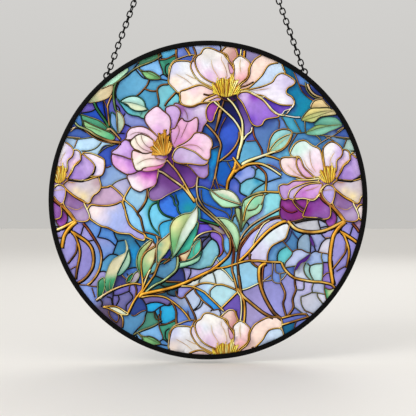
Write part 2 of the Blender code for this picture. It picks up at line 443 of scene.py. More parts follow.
# The large orchid and pink flower left of the middle, from back to front.
PINK_FLOWER = [
    Blade((-38, 28), (-14, 30), 18, "6a2a80 5a2070 5a2080", widest=0.5, blunt=2, foot=0.5, edge="umber"),
    Blade((-6, 43), (-5, 60), 23, "b890cc ccb4e0 d9c9e8", edge="bronze", line=0.5,
        tints=((-17, 57, 4, "8a4a9a"), (-11, 55, 4, "b090cc"), (-5, 56, 5, "dacce9"),
        (-4, 48, 4, "b48cc8")),
        creases=(((-15.5, 57.5), (-13.5, 54.5), (-12.5, 50)),),
        shape=((-21.6, 59.6), (-19.6, 61), (-13.3, 58.6), (-9, 58.6), (-5, 60.3), (-0.4, 60.6), (0, 58.5),
        (-1, 55), (-0.4, 50), (-3, 46), (-4, 43), (-8, 41), (-15, 48), (-20, 54))),
    Blade((-22, 45), (-22, 59.5), 9.6, "b88cd0 c8a4dc cfb0e2", edge="bronze", line=0.5,
        shape=((-27, 57), (-25, 59), (-21.5, 59.5), (-18.6, 58), (-17.4, 54.6), (-19, 49.6), (-21, 44.5),
        (-25, 43), (-25.5, 51))),
    Blade((-34, 41), (-31.5, 59), 16.5, "e8c0e6 f0cfea f4d6ec", edge="bronze", line=0.5,
        tints=((-35, 50, 4, "f6daf0"), (-27.5, 54, 3.5, "e6bce4"), (-31, 45, 3, "dcaee0")),
        shape=((-31, 40), (-34, 42.4), (-37, 45.6), (-39.6, 49.5), (-39.6, 53), (-36.3, 56.6), (-32, 59),
        (-28, 56), (-24.6, 53), (-23.5, 49), (-24, 45), (-25, 41))),
    Blade((-20, 35), (-9, 51), 14, "d898cc e4a8d0 ecbcdc", edge="bronze", line=0.5,
        tints=((-20.5, 41, 3, "d4a0d4"), (-13, 47, 3.5, "e8b0d8"), (-10, 41, 3, "e8a0cc"),
        (-17, 36, 2.5, "d080c4")),
        creases=(((-20, 48.4), (-18, 44), (-19.6, 39), (-21.5, 35)), ((-12.5, 49), (-17, 39))),
        shape=((-23.4, 44), (-21, 45.3), (-19, 49), (-16.7, 51.6), (-15, 50), (-13, 49.5), (-11, 50),
        (-8, 52), (-6.5, 51), (-6.4, 46.7), (-7.4, 42), (-10, 36), (-19, 32), (-23, 36))),
    Blade((-20, 33), (2, 31), 17, "e8bcdc f0c8e0 f4d4e4", edge="tan", line=0.6,
        tints=((-8, 36, 4, "eebce4"), (0, 29, 3, "f2c4e4"), (-2, 39, 3, "f4d4ee"), (-12, 34, 4, "e8b0dc")),
        creases=(((-18, 33.4), (-12, 34.6), (-7, 34), (-3, 31)),),
        shape=((-20, 33.6), (-15, 36), (-11, 39), (-8.5, 42), (-5, 42.5), (-1, 41), (2, 38), (2.6, 34.4),
        (1.4, 31.3), (1.3, 27), (-1, 25), (-4, 26), (-7.5, 29), (-12.4, 31.5), (-18, 33))),
    Blade((-20, 20), (-1, 17), 9, "8458ac 9c78c0 ac8ccc", edge="tan", line=0.5,
        shape=((-13, 22.6), (-7.5, 22.4), (-0.6, 23), (0, 19.5), (0, 16), (-2, 14), (-4.4, 14), (-7, 15.4),
        (-10, 18.5))),
    Blade((-20, 26), (-9, 8), 14, "48206c 5a2c7c 704494", edge="bronze", line=0.5,
        tints=((-12, 12, 4, "744898"), (-18, 20, 4, "461c68")),
        shape=((-21.5, 25), (-17, 22.7), (-12, 21), (-8, 16.6), (-6.6, 14.6), (-7.4, 11), (-9, 8.3),
        (-12, 7.6), (-17, 8), (-20, 12))),
    Blade((-21, 27), (-1, 23), 8, "c0a8d4 ccb8e0 c4acdc", line=0.65,
        tints=((-18, 25.5, 3, "b898c8"), (-5, 24, 3, "b8a0d8")),
        shape=((-22.5, 26.7), (-20.5, 24), (-16.7, 23), (-12.4, 23), (-4, 22), (-1, 23), (0, 25), (-3, 26),
        (-8, 30), (-12.4, 32), (-17.6, 33.4), (-21, 31))),
    Blade((-25, 24), (-32, 1), 19, "54286e 663880 8c68a8", edge="sand", line=0.5,
        tints=((-22, 15, 4, "64307c"), (-30, 5, 4, "8e6cac"), (-20, 8, 3, "744490")),
        shape=((-31, 22), (-26, 24.6), (-23, 22), (-17, 14), (-15, 10.3), (-17, 7.4), (-20, 6), (-26, 3),
        (-29, 1), (-32, 0), (-35, 0), (-37, 1.6), (-37.3, 5), (-35.4, 7.6), (-33, 10), (-31, 18))),
    Blade((-32, 20), (-43.5, 5), 18, "8a2a90 c468c0 ecb4e0 f8e8f4", edge="bronze", line=0.5,
        tints=((-47.5, 12, 3.6, "fbf2f8"), (-43.5, 7.5, 3.6, "faeef6"), (-36.5, 10.5, 3.4, "eab4e2"),
        (-38, 17, 3, "b850b8")),
        shape=((-33, 20.5), (-31.4, 19.4), (-32, 15), (-32.3, 11.4), (-34, 9), (-40, 6.6), (-42.4, 5.3),
        (-45, 6), (-48, 8), (-49.5, 11), (-51, 15), (-49, 17), (-46, 17.4), (-38, 20.6))),
    Blade((-44, 21), (-60.5, 26), 14, "c88cdc d8a4e4 e0b0e4", edge="bronze", line=0.5,
        tints=((-53, 19.5, 3.5, "f2bce6"), (-58, 24, 3.5, "e0a4e0"), (-49, 23, 3, "c080d4")),
        shape=((-60.6, 28.6), (-56.6, 28.6), (-48.5, 26), (-45, 24), (-44, 19), (-46.4, 17), (-51, 16.3),
        (-54.7, 18), (-58, 20.3), (-60.3, 23.4))),
    Blade((-46, 30), (-60, 32), 12, "bc90dc c8a0e4 d8b8ec", edge="bronze", line=0.5,
        tints=((-52, 34, 3.5, "d0acea"), (-57, 30.3, 3, "dcc0f0")),
        shape=((-46, 31.6), (-49, 36.6), (-52, 38), (-54, 37), (-57, 33), (-60, 31), (-60.4, 29.4),
        (-56.6, 28.4), (-53.3, 27.5), (-48.5, 26), (-45, 28))),
    Blade((-32, 39), (-50, 43), 8, "e8c4e0 f0d0e8 f4dcee", edge="bronze", line=0.5,
        tints=((-46, 45, 3, "f8e2f0"),),
        creases=(((-49, 40.6), (-46.5, 42), (-42.7, 42.4), (-38, 41), (-35, 38)),),
        shape=((-51, 38), (-51.4, 40), (-51, 42.4), (-49, 45), (-46, 46), (-42, 46.4), (-38, 45), (-34, 42),
        (-30.5, 38), (-34, 34), (-42, 38))),
    Blade((-35, 33), (-48, 38), 11, "f2d0dc f8e8e0 fcf2e2", edge="bronze", line=0.5,
        tints=((-40, 38, 3.5, "fbf6ec"), (-40, 31.4, 2.5, "f6d8d8"), (-37, 33, 3, "e8c0d4")),
        shape=((-49, 36.4), (-46, 40), (-42.7, 41.6), (-40, 41), (-37, 39.6), (-34, 37), (-32, 32),
        (-36, 28.5), (-40.3, 29), (-43.6, 31), (-46.6, 32.4))),
    vine("bronze", 0.4, 0.4, (-46, 40.3), (-44.6, 36), (-41.6, 32.6), (-38.4, 31), (-35, 30)),
    vine("bronze", 0.4, 0.4, (-42, 41), (-41.4, 38), (-39.6, 35), (-37, 33), (-35, 32.6)),
    Blade((-30, 27), (-47.5, 24), 11, "f0c4d8 f6e0dc fbf2e2", edge="bronze", line=0.5,
        tints=((-45, 28.5, 3.5, "f6cedb"), (-42, 23, 4.5, "fbf9ec"), (-38, 27, 3, "f8e0dc")),
        creases=(((-31, 25.6), (-36, 26), (-40.5, 25), (-44.6, 22.6)),),
        shape=((-47.6, 31), (-45.6, 31), (-42.7, 30), (-39, 29.3), (-35.5, 30), (-31, 29), (-26.5, 26),
        (-27.5, 23), (-31.6, 21), (-40, 20.4), (-41.7, 19), (-43.6, 18.4), (-45.6, 19.3), (-47, 22.7),
        (-48, 27))),
    Blade((-28, 21.5), (-41.5, 19), 3, "d868b8 e890c8 f4b8d4", edge="bronze", line=0.45,
        shape=((-42, 18.7), (-39.6, 20.4), (-31.4, 21.6), (-27.4, 23), (-29.4, 20.4), (-33, 19), (-38, 18))),
    Blade((-26, 27.6), (-33, 27), 3.4, "a05cb4 e4bcd8 f4d0e0", edge="bronze", line=0.45,
        shape=((-33.4, 27), (-30, 28.6), (-26.6, 28.4), (-25.4, 26.6), (-28.5, 25.4), (-31.6, 26))),
]

# The pale and magenta flower at the right, from back to front.
RIGHT_FLOWER = [
    Blade((50, -6), (86, 10), 18, "8a2a88 8a3a98 a068b8", widest=0.5, blunt=2.4, foot=0.6, edge="umber"),
    Blade((62, 12), (84, 16), 14, "c890c8 c8a0d8 c8a8dc", widest=0.5, blunt=2.4, foot=0.6, edge="umber"),
    Blade((92, 16), (103, 24), 10, "d4ccf4 e8dcf4 fdeef4",
        shape=((90, 29), (93, 29.7), (97, 29), (103, 26), (104, 23.5), (103.7, 19), (102.4, 16), (100, 15),
        (97, 15), (94, 15.5), (91, 21))),
    Blade((84, 14), (95, 27), 15, "a888d4 b498d8 bca0e0",
        tints=((93.5, 20, 4, "c0a4e0"), (87, 16, 4, "a484d0")),
        creases=(((90.6, 28), (93.6, 26), (96, 23.4)),),
        shape=((89.6, 29), (92.6, 27), (95.6, 24.6), (97.6, 21.6), (97, 18), (95, 15), (92, 13), (89, 12.4),
        (85, 12.7), (80.5, 12.6), (83.5, 18), (85, 21.4), (88, 24))),
    Blade((80, 12), (87, 31.5), 8, "e8b8dc e0c4e4 e0d8f0",
        tints=((85, 23, 3, "ecc8e4"),),
        shape=((84, 31), (86.4, 31.6), (88.5, 30), (89, 25.4), (87, 24), (84.6, 21.5), (83, 18.5),
        (81, 14.4), (77, 14), (77.5, 20), (80, 26))),
    Blade((79, 9), (101, 7), 16, "c8b0c4 ccc0cc d8c8c0",
        tints=((88, 9.5, 4, "d0c8d8"), (96, 9, 4, "ccc0c8"), (90.5, 2, 3.4, "f4e0a4"),
        (86, 5.4, 3, "ecd8b4"), (99.4, 11, 3, "b898a8"), (84, 11.4, 2.4, "c0a0b0")),
        creases=(((80, 11.6), (82.5, 11), (85.6, 11)),),
        shape=((78, 10), (82, 13), (85, 12.3), (89, 12), (93, 12.6), (97, 14), (100, 14.3), (101, 12),
        (101.7, 9), (101, 6.5), (99.4, 4.7), (97, 3), (95.6, 1), (95, -1), (93, -2), (89, 0.5), (85, 2.6),
        (79.4, 7.4))),
    Blade((81, 6), (91, -13), 15, "80588c 8c68a4 a88cbc", right="b09cc0",
        tints=((84, 3, 3.5, "7c5488"), (90, -9, 4, "b4a0c4"), (83, -4, 3, "8a649c")),
        creases=(((79.5, -3.4), (83, -5), (87, -6), (91, -3.6)),),
        shape=((79, 7), (81.4, 5), (89, 0), (91, -1.4), (94, -8), (94.6, -11), (93, -13), (89.7, -13.5),
        (86, -12.6), (83.4, -9), (79, -4), (78, 0))),
    Blade((79, -8), (76, -15.5), 6, "7a3a94 8c409c 9a50b0", edge="umber", line=0.5,
        shape=((73.4, -12.4), (76, -9.3), (77.4, -6.4), (80, -8.7), (80.7, -11.6), (79.7, -14.5),
        (77, -16.6), (75, -16))),
    Blade((77, 9), (76, -2), 7, "d4c4ec b8a8e4 c0a4dc",
        creases=(((72, 5.6), (75.5, 6.4), (79, 6.4)),),
        shape=((71.6, 6.3), (73.6, 9), (76, 9.7), (79, 8), (79.6, 5.4), (79, 1.5), (77.6, -2), (75.5, -1.7),
        (73, 1), (71.6, 3.5))),
    Blade((56, -3), (47, -12), 16, "8a2c88 7c2474 7a3490", edge="bronze", line=0.55,
        tints=((52, -10, 3, "7a2880"), (49, -3, 3, "98409c")),
        shape=((46, 1), (49.4, 1.5), (54, -0.4), (57, -3.4), (61, -6.5), (60.4, -10.4), (58, -12),
        (51, -13.5), (47, -12.6), (45, -9.7), (45, -4))),
    vine("wine", 0.8, 0.7, (46, -4), (49, -6.6), (52.5, -7.7), (56, -6.6)),
    vine("tan", 0.8, 0.9, (52.6, 1), (53.6, -1.4), (55.4, -4), (58, -6.6), (60.3, -8)),
    Blade((69, 2), (66, -11.5), 18, "80308c 8a4aa0 8a5aa8", right="7a1a80",
        tints=((74, -6, 3.5, "9464b0"), (62.5, -7, 3, "7a1a80"), (68, -3, 4, "86409a")),
        creases=(((64.5, 0.6), (62, -3), (60, -7.6)),),
        shape=((69.5, 2.4), (72.3, 0.4), (76, -3), (77, -7.4), (76, -11), (72.3, -12), (67.7, -11),
        (60, -10.4), (60, -8), (62, -3), (63, 2))),
    Blade((66, 12), (44, 6), 10, "d8acdc cc98d4 bc9cd8",
        tints=((55, 10.6, 3, "dcb0dc"), (47, 7, 3.5, "b898d4")),
        shape=((44.3, 8.4), (46.6, 10), (50, 10), (53.3, 12), (58.6, 12.4), (64, 12.6), (70, 13), (64, 9),
        (56, 6), (50, 1), (47, 0.6), (45, 4))),
    Blade((66, 11), (51, 2), 6, "dcc4e4 ccb4e0 c4b0dc",
        shape=((50.3, 1.5), (51, 5.4), (53, 7.4), (60, 10.4), (66, 11.6), (70, 11), (62, 6), (56, 2),
        (53.3, 0.3))),
    Blade((70, 9.6), (56, 2.6), 9.5, "e8c0ee dca8e6 c890dc",
        tints=((60, 3.4, 3, "c070c8"), (66, 4, 3, "d098e0")),
        creases=(((70, 9), (65.6, 7), (60.5, 5.6)),),
        shape=((54, 1.5), (55.4, 4.6), (58.4, 7.7), (62, 9.6), (66, 10.5), (71.6, 10.4), (70.4, 6.3),
        (69, 3), (66, 0.7), (58.6, 1))),
    Blade((67, 14), (46, 23), 12, "ecc4dc f0d0dc f6e0e0",
        tints=((49, 18.5, 3.5, "f4d8dc"), (47.5, 24, 3, "f8e8e6")),
        creases=(((60, 14.4), (55, 17), (50, 22)),),
        shape=((45.6, 26), (48, 27), (51, 27), (55, 27.4), (58, 22), (62, 16.5), (67, 13.6), (60.4, 13),
        (56.3, 14.4), (52, 15.3), (48.5, 17), (46, 20), (45, 23.7))),
    Blade((67, 15), (56.4, 26), 5, "dca8d4 e4b8d8 e8c4dc",
        shape=((55.6, 26), (58, 26.4), (60, 21.6), (63, 18), (68.4, 15), (63, 14), (60, 15), (57.3, 18),
        (55.5, 22))),
    Blade((69, 18), (56, 36), 17, "f4dcec f4eef6 e8f6f2",
        tints=((55.4, 32, 4.8, "bfeadc"), (67, 28, 4, "f8e2f2"), (61, 34, 3.6, "d4eee8"),
        (68, 20, 3.5, "f4d4e8")),
        creases=(((67.6, 17.6), (65, 22), (64, 27.5), (64, 31)), ((66.5, 17), (62.4, 20.6), (60, 25.6))),
        shape=((51.4, 29), (52, 31.4), (53.6, 34.3), (56, 36.6), (59.3, 37.6), (62, 37), (65.4, 34.4),
        (69.5, 32.5), (71, 29.6), (71.6, 26), (72.4, 22), (72.4, 17), (67.7, 14.4), (63, 18), (60, 21),
        (58.4, 25), (56.6, 27.4), (53.5, 27))),
    Blade((76, 20), (78, 36.5), 12, "f0e4f4 f4f2f8 f8f6fa", right="d0b8ec",
        tints=((82, 29, 3, "d4bcee"), (76, 31, 3.5, "faf8fa"), (76, 24, 3, "ecd8f0")),
        creases=(((76.4, 21.6), (77, 26), (79.4, 30)),),
        shape=((72, 32), (74, 35), (77, 36.7), (80, 36), (83.3, 33.4), (84.4, 30.5), (83.3, 27.3),
        (80.6, 24.6), (80, 18), (73, 16), (73, 22), (72.4, 26))),
    vine("pale", 0.8, 0.8, (76, 10), (73, 9), (71, 6.5), (70.3, 4), (67, 0.3), (64, 0), (61, 1), (58.3, 1),
        (55, 0.4)),
    vine("pale", 0.7, 0.8, (55, 13.4), (60, 12.6), (70, 13.6)),
    vine("black", 0.8, 1.1, (98, 21.5), (97.3, 18), (95, 15), (92, 13), (89, 12), (80.6, 13)),
    vine("black", 0.7, 0.7, (95.4, 14), (98, 14.6), (101.3, 14)),
    vine("pale", 0.9, 0.8, (91, -2), (94, -8.4), (94.6, -11.4)),
    vine("gold", 1.0, 1.1, (79.4, 7), (85, 2.4), (91, -1)),
    vine("rust-gold", 1.6, 1.8, (70.3, 5), (71, 2), (73, -0.5), (79, -5.3), (85.5, -13.3)),
]


def stamens(feet, heads, count, tones):
    """A clump of filaments over a golden ground: each runs from the curve of the feet to the curve of
    the heads, bent a little and of its own length, and ends in a knob of pollen."""
    middle = len(heads) // 2
    drawn_in = [(u + 0.12 * (feet[1][0] - u), v + 0.12 * (feet[1][1] - v)) for u, v in heads]
    clump = [Blade(feet[1], heads[middle], 10, "8a5414 c48a24 dca838", edge="umber", line=0.3,
                   shape=(*feet, *reversed(drawn_in)))]
    foot_line, head_line = smooth_path(feet, 0.2), smooth_path(heads, 0.2)
    order = np.concatenate([np.arange(0, count, 2), np.arange(1, count, 2)])
    for k in order:
        share = (k + 0.5) / count
        foot = foot_line[int(share * (len(foot_line) - 1))]
        head = head_line[int(share * (len(head_line) - 1))]
        head = foot + (head - foot) * (0.88 + 0.12 * np.sin(5.1 * k + 1))
        ahead = (head - foot) / np.hypot(*(head - foot))
        half_way = (foot + head) / 2 + 0.4 * np.sin(3.7 * k) * np.array([-ahead[1], ahead[0]])
        tone = tones[k % len(tones)]
        if k % 4 == 3:
            clump.append(Stroke((foot + 0.2 * ahead, half_way, head - 2.2 * ahead), 0.5, 0.3, "umber"))
            continue
        clump.append(Stroke((foot, half_way, head), 0.6, 0.95, tone))
        clump.append(Stroke((head - 0.3 * ahead, head + 0.2 * ahead, head + 0.6 * ahead), 1.2, 1.3, tone))
    return clump


# The leaves at the left, from back to front.
LEAVES_LEFT = [
    Leaf((-67, 69), (-52, 80), 4, "b8fcdc c4fce0 ccfcd8", edge="moss", line=0.45,
        shape=((-70, 69.5), (-64, 75), (-59, 79), (-53, 83), (-50, 82.4), (-51.4, 79.6), (-60.6, 72),
        (-67, 69))),
    Leaf((-73, 62), (-60.5, 70), 6, "bcc89c dccca4 d8c49c", edge="sand", line=0.5,
        shape=((-77, 61.4), (-72.6, 66), (-69.4, 68.6), (-62, 72), (-60, 72), (-60, 69), (-62, 65),
        (-65.3, 63), (-70, 61.7), (-75, 61))),
    Leaf((-44.3, 83), (-30, 76.3), 4.6, "8ccc84 8fc88a 6fae6f", other="6fae6f 8cc884 5f9f62", rib=True,
        edge="olive",
        shape=((-44.3, 83), (-41, 81), (-37, 81), (-33.5, 79.7), (-30, 77), (-30.6, 76), (-34, 75.6),
        (-37.5, 76), (-40.3, 78), (-42.3, 81))),
    Leaf((-56, 63), (-41, 52), 8, "5fb8c8 5fb8c8 8fd8c8", edge="pine", line=0.5,
        shape=((-57.5, 64), (-55, 62), (-48, 58), (-38, 57), (-38.5, 54), (-40.5, 51.3), (-44, 52.7),
        (-48.5, 53.6), (-52, 56))),
    Leaf((-55, 61.5), (-38, 57.5), 8.6, "b4e8e0 b4e4dc a4dcd0", other="e4f0d8 dfeccb dfeccb", rib=True,
        bow=1.2, edge="pine",
        shape=((-55, 62), (-52, 64.3), (-48, 65.4), (-44, 65), (-41, 63), (-39.7, 60.5), (-39.3, 58.4),
        (-38, 57), (-41, 56), (-45, 56), (-48.7, 57.6), (-51, 60)),
        creases=(((-42.5, 52.6), (-41, 55.5), (-38, 57)),)),
    Leaf((-57.4, 56), (-56.4, 42), 5, "c4d8bc c0d4b8 bcd0b4", bow=2, edge="sand",
        shape=((-57.6, 56), (-55.3, 55), (-53.5, 52.3), (-52.7, 49.5), (-53, 46.5), (-54.6, 43.6),
        (-56.4, 42), (-57, 45), (-57.3, 53))),
    Leaf((-61, 55), (-57, 42), 4.4, "6a9cd8 7facdf 6f9fd4", edge="pine",
        shape=((-61, 55), (-58.7, 54), (-57.7, 51.5), (-57.4, 47.5), (-57, 42), (-60.6, 46.5),
        (-61.5, 50.5))),
    Leaf((-80.5, 52.5), (-61.5, 43.5), 5, "5fae88 4f9f7c 3a8064", edge="olive",
        shape=((-81, 54), (-74, 52), (-69, 50.3), (-65.5, 48), (-61.5, 43.6), (-66, 44.3), (-75, 48.6),
        (-79.5, 50.5))),
    Leaf((-78.3, 49.5), (-59, 39), 8.6, "a8dc98 94d49c 5cbf8a", edge="olive",
        shape=((-78.5, 50), (-74, 48), (-65, 44), (-61, 42.3), (-58.7, 40), (-59.3, 38), (-63, 38),
        (-70, 40.6), (-74, 43), (-77.3, 45.7)),
        creases=(((-77.5, 46.3), (-72, 45), (-67, 43)),)),
    Leaf((-83, 52), (-79.7, 46), 4, "5a90d0 4a80c8 3a68b4", edge="pine",
        shape=((-84.5, 53), (-82.5, 48), (-80, 46), (-79, 47.6), (-79.3, 50.5), (-80.5, 53.5))),
    # Low on the left.
    Leaf((-68, -61), (-66, -48.5), 4, "0c6a40 2c8a5c 6cb48c", edge="sage",
        shape=((-69.3, -61), (-69.3, -55), (-69, -51.3), (-67.3, -49.3), (-65.6, -48.6), (-65, -51),
        (-65, -55), (-66, -58.5), (-67, -61.5))),
    Leaf((-62, -58), (-51.5, -26), 9, "4f9a74 dcd6b4 ece6c8", bow=2.5, edge="sage", line=0.45,
        tints=((-61.5, -51.5, 3.2, "3faf74"), (-58.5, -50.5, 2.2, "2f9f6a"), (-62, -56, 2.5, "1f6a48"),
        (-60.5, -44, 4, "e6deb4")),
        shape=((-52, -25), (-51.4, -29), (-52, -33), (-55.5, -35), (-59, -37), (-61.4, -40), (-63, -43.5),
        (-64.4, -48), (-65, -53), (-64, -57), (-61, -57.5), (-59.4, -53.5), (-56.3, -44.5), (-52, -36.5),
        (-50.4, -33), (-50.4, -29)),
        creases=(((-61.3, -50), (-62, -54), (-61.3, -57)),)),
    Leaf((-57, -47), (-50, -31), 5, "88b8a8 a4ccb4 c4ecc8", bow=-1.5, edge="pine",
        shape=((-50, -31), (-49, -34.5), (-48.7, -37.5), (-49.7, -41), (-52, -44), (-54.5, -46.3),
        (-57, -47), (-56, -44), (-52, -36.3))),
    Leaf((-47.3, -46), (-51.3, -51.6), 3, "2f9f6a 1f8a5a 0f7048", edge="olive",
        shape=((-47, -46), (-49, -47), (-50.7, -49), (-51.4, -51.7), (-49.3, -51), (-47.5, -48.6))),
    Leaf((-44, -44.6), (-47.7, -52), 4, "c4b4bc b8acbc a8a0b4", edge="sage",
        shape=((-44, -44.5), (-46.6, -46.4), (-47.7, -49), (-49, -51.4), (-46.3, -51.7), (-44.4, -50),
        (-43, -47))),
    Leaf((-44, -44), (-35, -25), 8, "5f9f6a a4c884 e4e09c", bow=2, edge="sage",
        shape=((-34.7, -24.7), (-37.7, -26), (-43, -31.3), (-45, -39), (-43, -45.5), (-41.6, -37),
        (-40, -33.6), (-36, -27.6))),
    Leaf((-41, -34), (-34.5, -25.5), 2.2, "c8a09c dcc0b8 e4ccc0", edge="umber",
        shape=((-35, -25.5), (-36.4, -28), (-41, -34.3), (-37, -31), (-33, -28.4), (-34, -27))),
    Leaf((-40.6, -49), (-33, -29), 8.4, "4faf84 a4cc8c f2ecbc", bow=2.2, edge="bronze",
        tints=((-36, -37, 3.5, "ece4b0"), (-40.5, -42, 2.5, "9cc48c")),
        shape=((-32.6, -28.6), (-36, -30), (-39, -33), (-41, -36), (-42, -40), (-42, -44), (-41, -49.3),
        (-39.4, -47.7), (-35.3, -41), (-33.6, -37), (-32.7, -33)),
        creases=(((-33, -31), (-34, -38.3)),)),
    Leaf((-36.5, -46), (-32.4, -38.5), 2.8, "5fa8b4 6fb8c0 84c4c8", edge="olive",
        shape=((-37, -46), (-36, -42.6), (-34, -39.3), (-32, -38.3), (-32.6, -42), (-34, -45))),
    Leaf((-31, -39.5), (-24, -21), 8, "6fb094 dcd8a0 ece4a8", other="e4dc9c d4d898 e4dc9c", bow=1,
        edge="sand",
        tints=((-31.3, -33, 2.2, "6fb094"), (-30, -28, 1.8, "7fb498")),
        shape=((-23.7, -20.6), (-26.3, -22.6), (-31.6, -27.4), (-32.3, -35), (-32, -39.7), (-30, -38),
        (-25.3, -32), (-24, -28.7), (-23.3, -24.6))),
    Leaf((-31, -40), (-24, -30.5), 2.8, "2a3a90 1f2a80 1f2a80", edge="pine",
        shape=((-24, -30.3), (-26.3, -33.3), (-29, -36.4), (-31.3, -40), (-28.6, -39.3), (-25.3, -36.7),
        (-23, -33.6))),
    Leaf((-20, -35), (-7, -14), 8, "2f9880 3fb89c 3fb89c", edge="pine",
        shape=((-7, -14), (-6.7, -17.5), (-7.4, -21.5), (-11, -30.3), (-13.5, -32.5), (-17, -34),
        (-21, -35), (-18, -31), (-9, -17))),
    Leaf((-22.5, -36), (-6.5, -1.5), 14.5, "6aae78 a8cc88 dcdc9c", other="b4e4c8 dcf0e4 f4f8ec", bow=1.2,
        edge="sage", line=0.5,
        tints=((-22, -28, 4, "74c07c"), (-20.5, -15, 5, "e2dea2")),
        shape=((-6.4, -1.4), (-7.7, -4.6), (-10.5, -7.7), (-15, -8.5), (-18.6, -10), (-21.4, -12),
        (-23.3, -15), (-24, -18.4), (-23.3, -29), (-22.3, -35), (-23, -36.6), (-20.3, -33.6), (-10.3, -19),
        (-7.4, -14), (-6.5, -9.5), (-6.6, -5)),
        creases=(((-7.5, -5.5), (-11, -9.4), (-14.3, -14), (-17, -19.5), (-20.3, -30), (-22.3, -35)),)),
    Leaf((-17, -38.5), (-12, -31.6), 4.4, "c88a5a ecd8b0 f0dcb8", edge="rust",
        shape=((-11.6, -31.3), (-14.6, -33), (-18, -34.5), (-17.3, -37), (-16.5, -39), (-14, -38),
        (-11.6, -33.4))),
    Leaf((-13.3, -37), (-5, -24.5), 7, "4fbfac 5fd0c0 74dccc", other="3fa890 4fbfa8 5fd0b8", rib=True,
        bow=1.5, edge="sand",
        shape=((-5, -24.4), (-7.6, -25), (-9.5, -27), (-11.7, -33), (-13.6, -37), (-11, -37), (-8, -35),
        (-5.6, -32.4), (-4.4, -29.3)),
        creases=(((-5, -25), (-8, -28), (-9, -31), (-9, -34.3)),)),
    Leaf((-18.5, -42.5), (-4.3, -32), 3.6, "a0d4b4 a8dcb8 b4e4c4", bow=-2.4, edge="pine",
        shape=((-4, -32), (-6.3, -35), (-10, -37), (-14, -38.4), (-17.6, -39), (-19, -42.4), (-16, -42),
        (-12.3, -41), (-8.6, -39.5), (-5.5, -37))),
    Leaf((-63, -67), (-50, -71.4), 3.6, "ece8cc e4ead0 d4e0c8", bow=1.6, edge="gilt", line=0.9,
        shape=((-66, -67), (-58, -66.7), (-52, -70), (-50, -71.6), (-53, -72), (-56, -71.3), (-62.5, -68))),
]

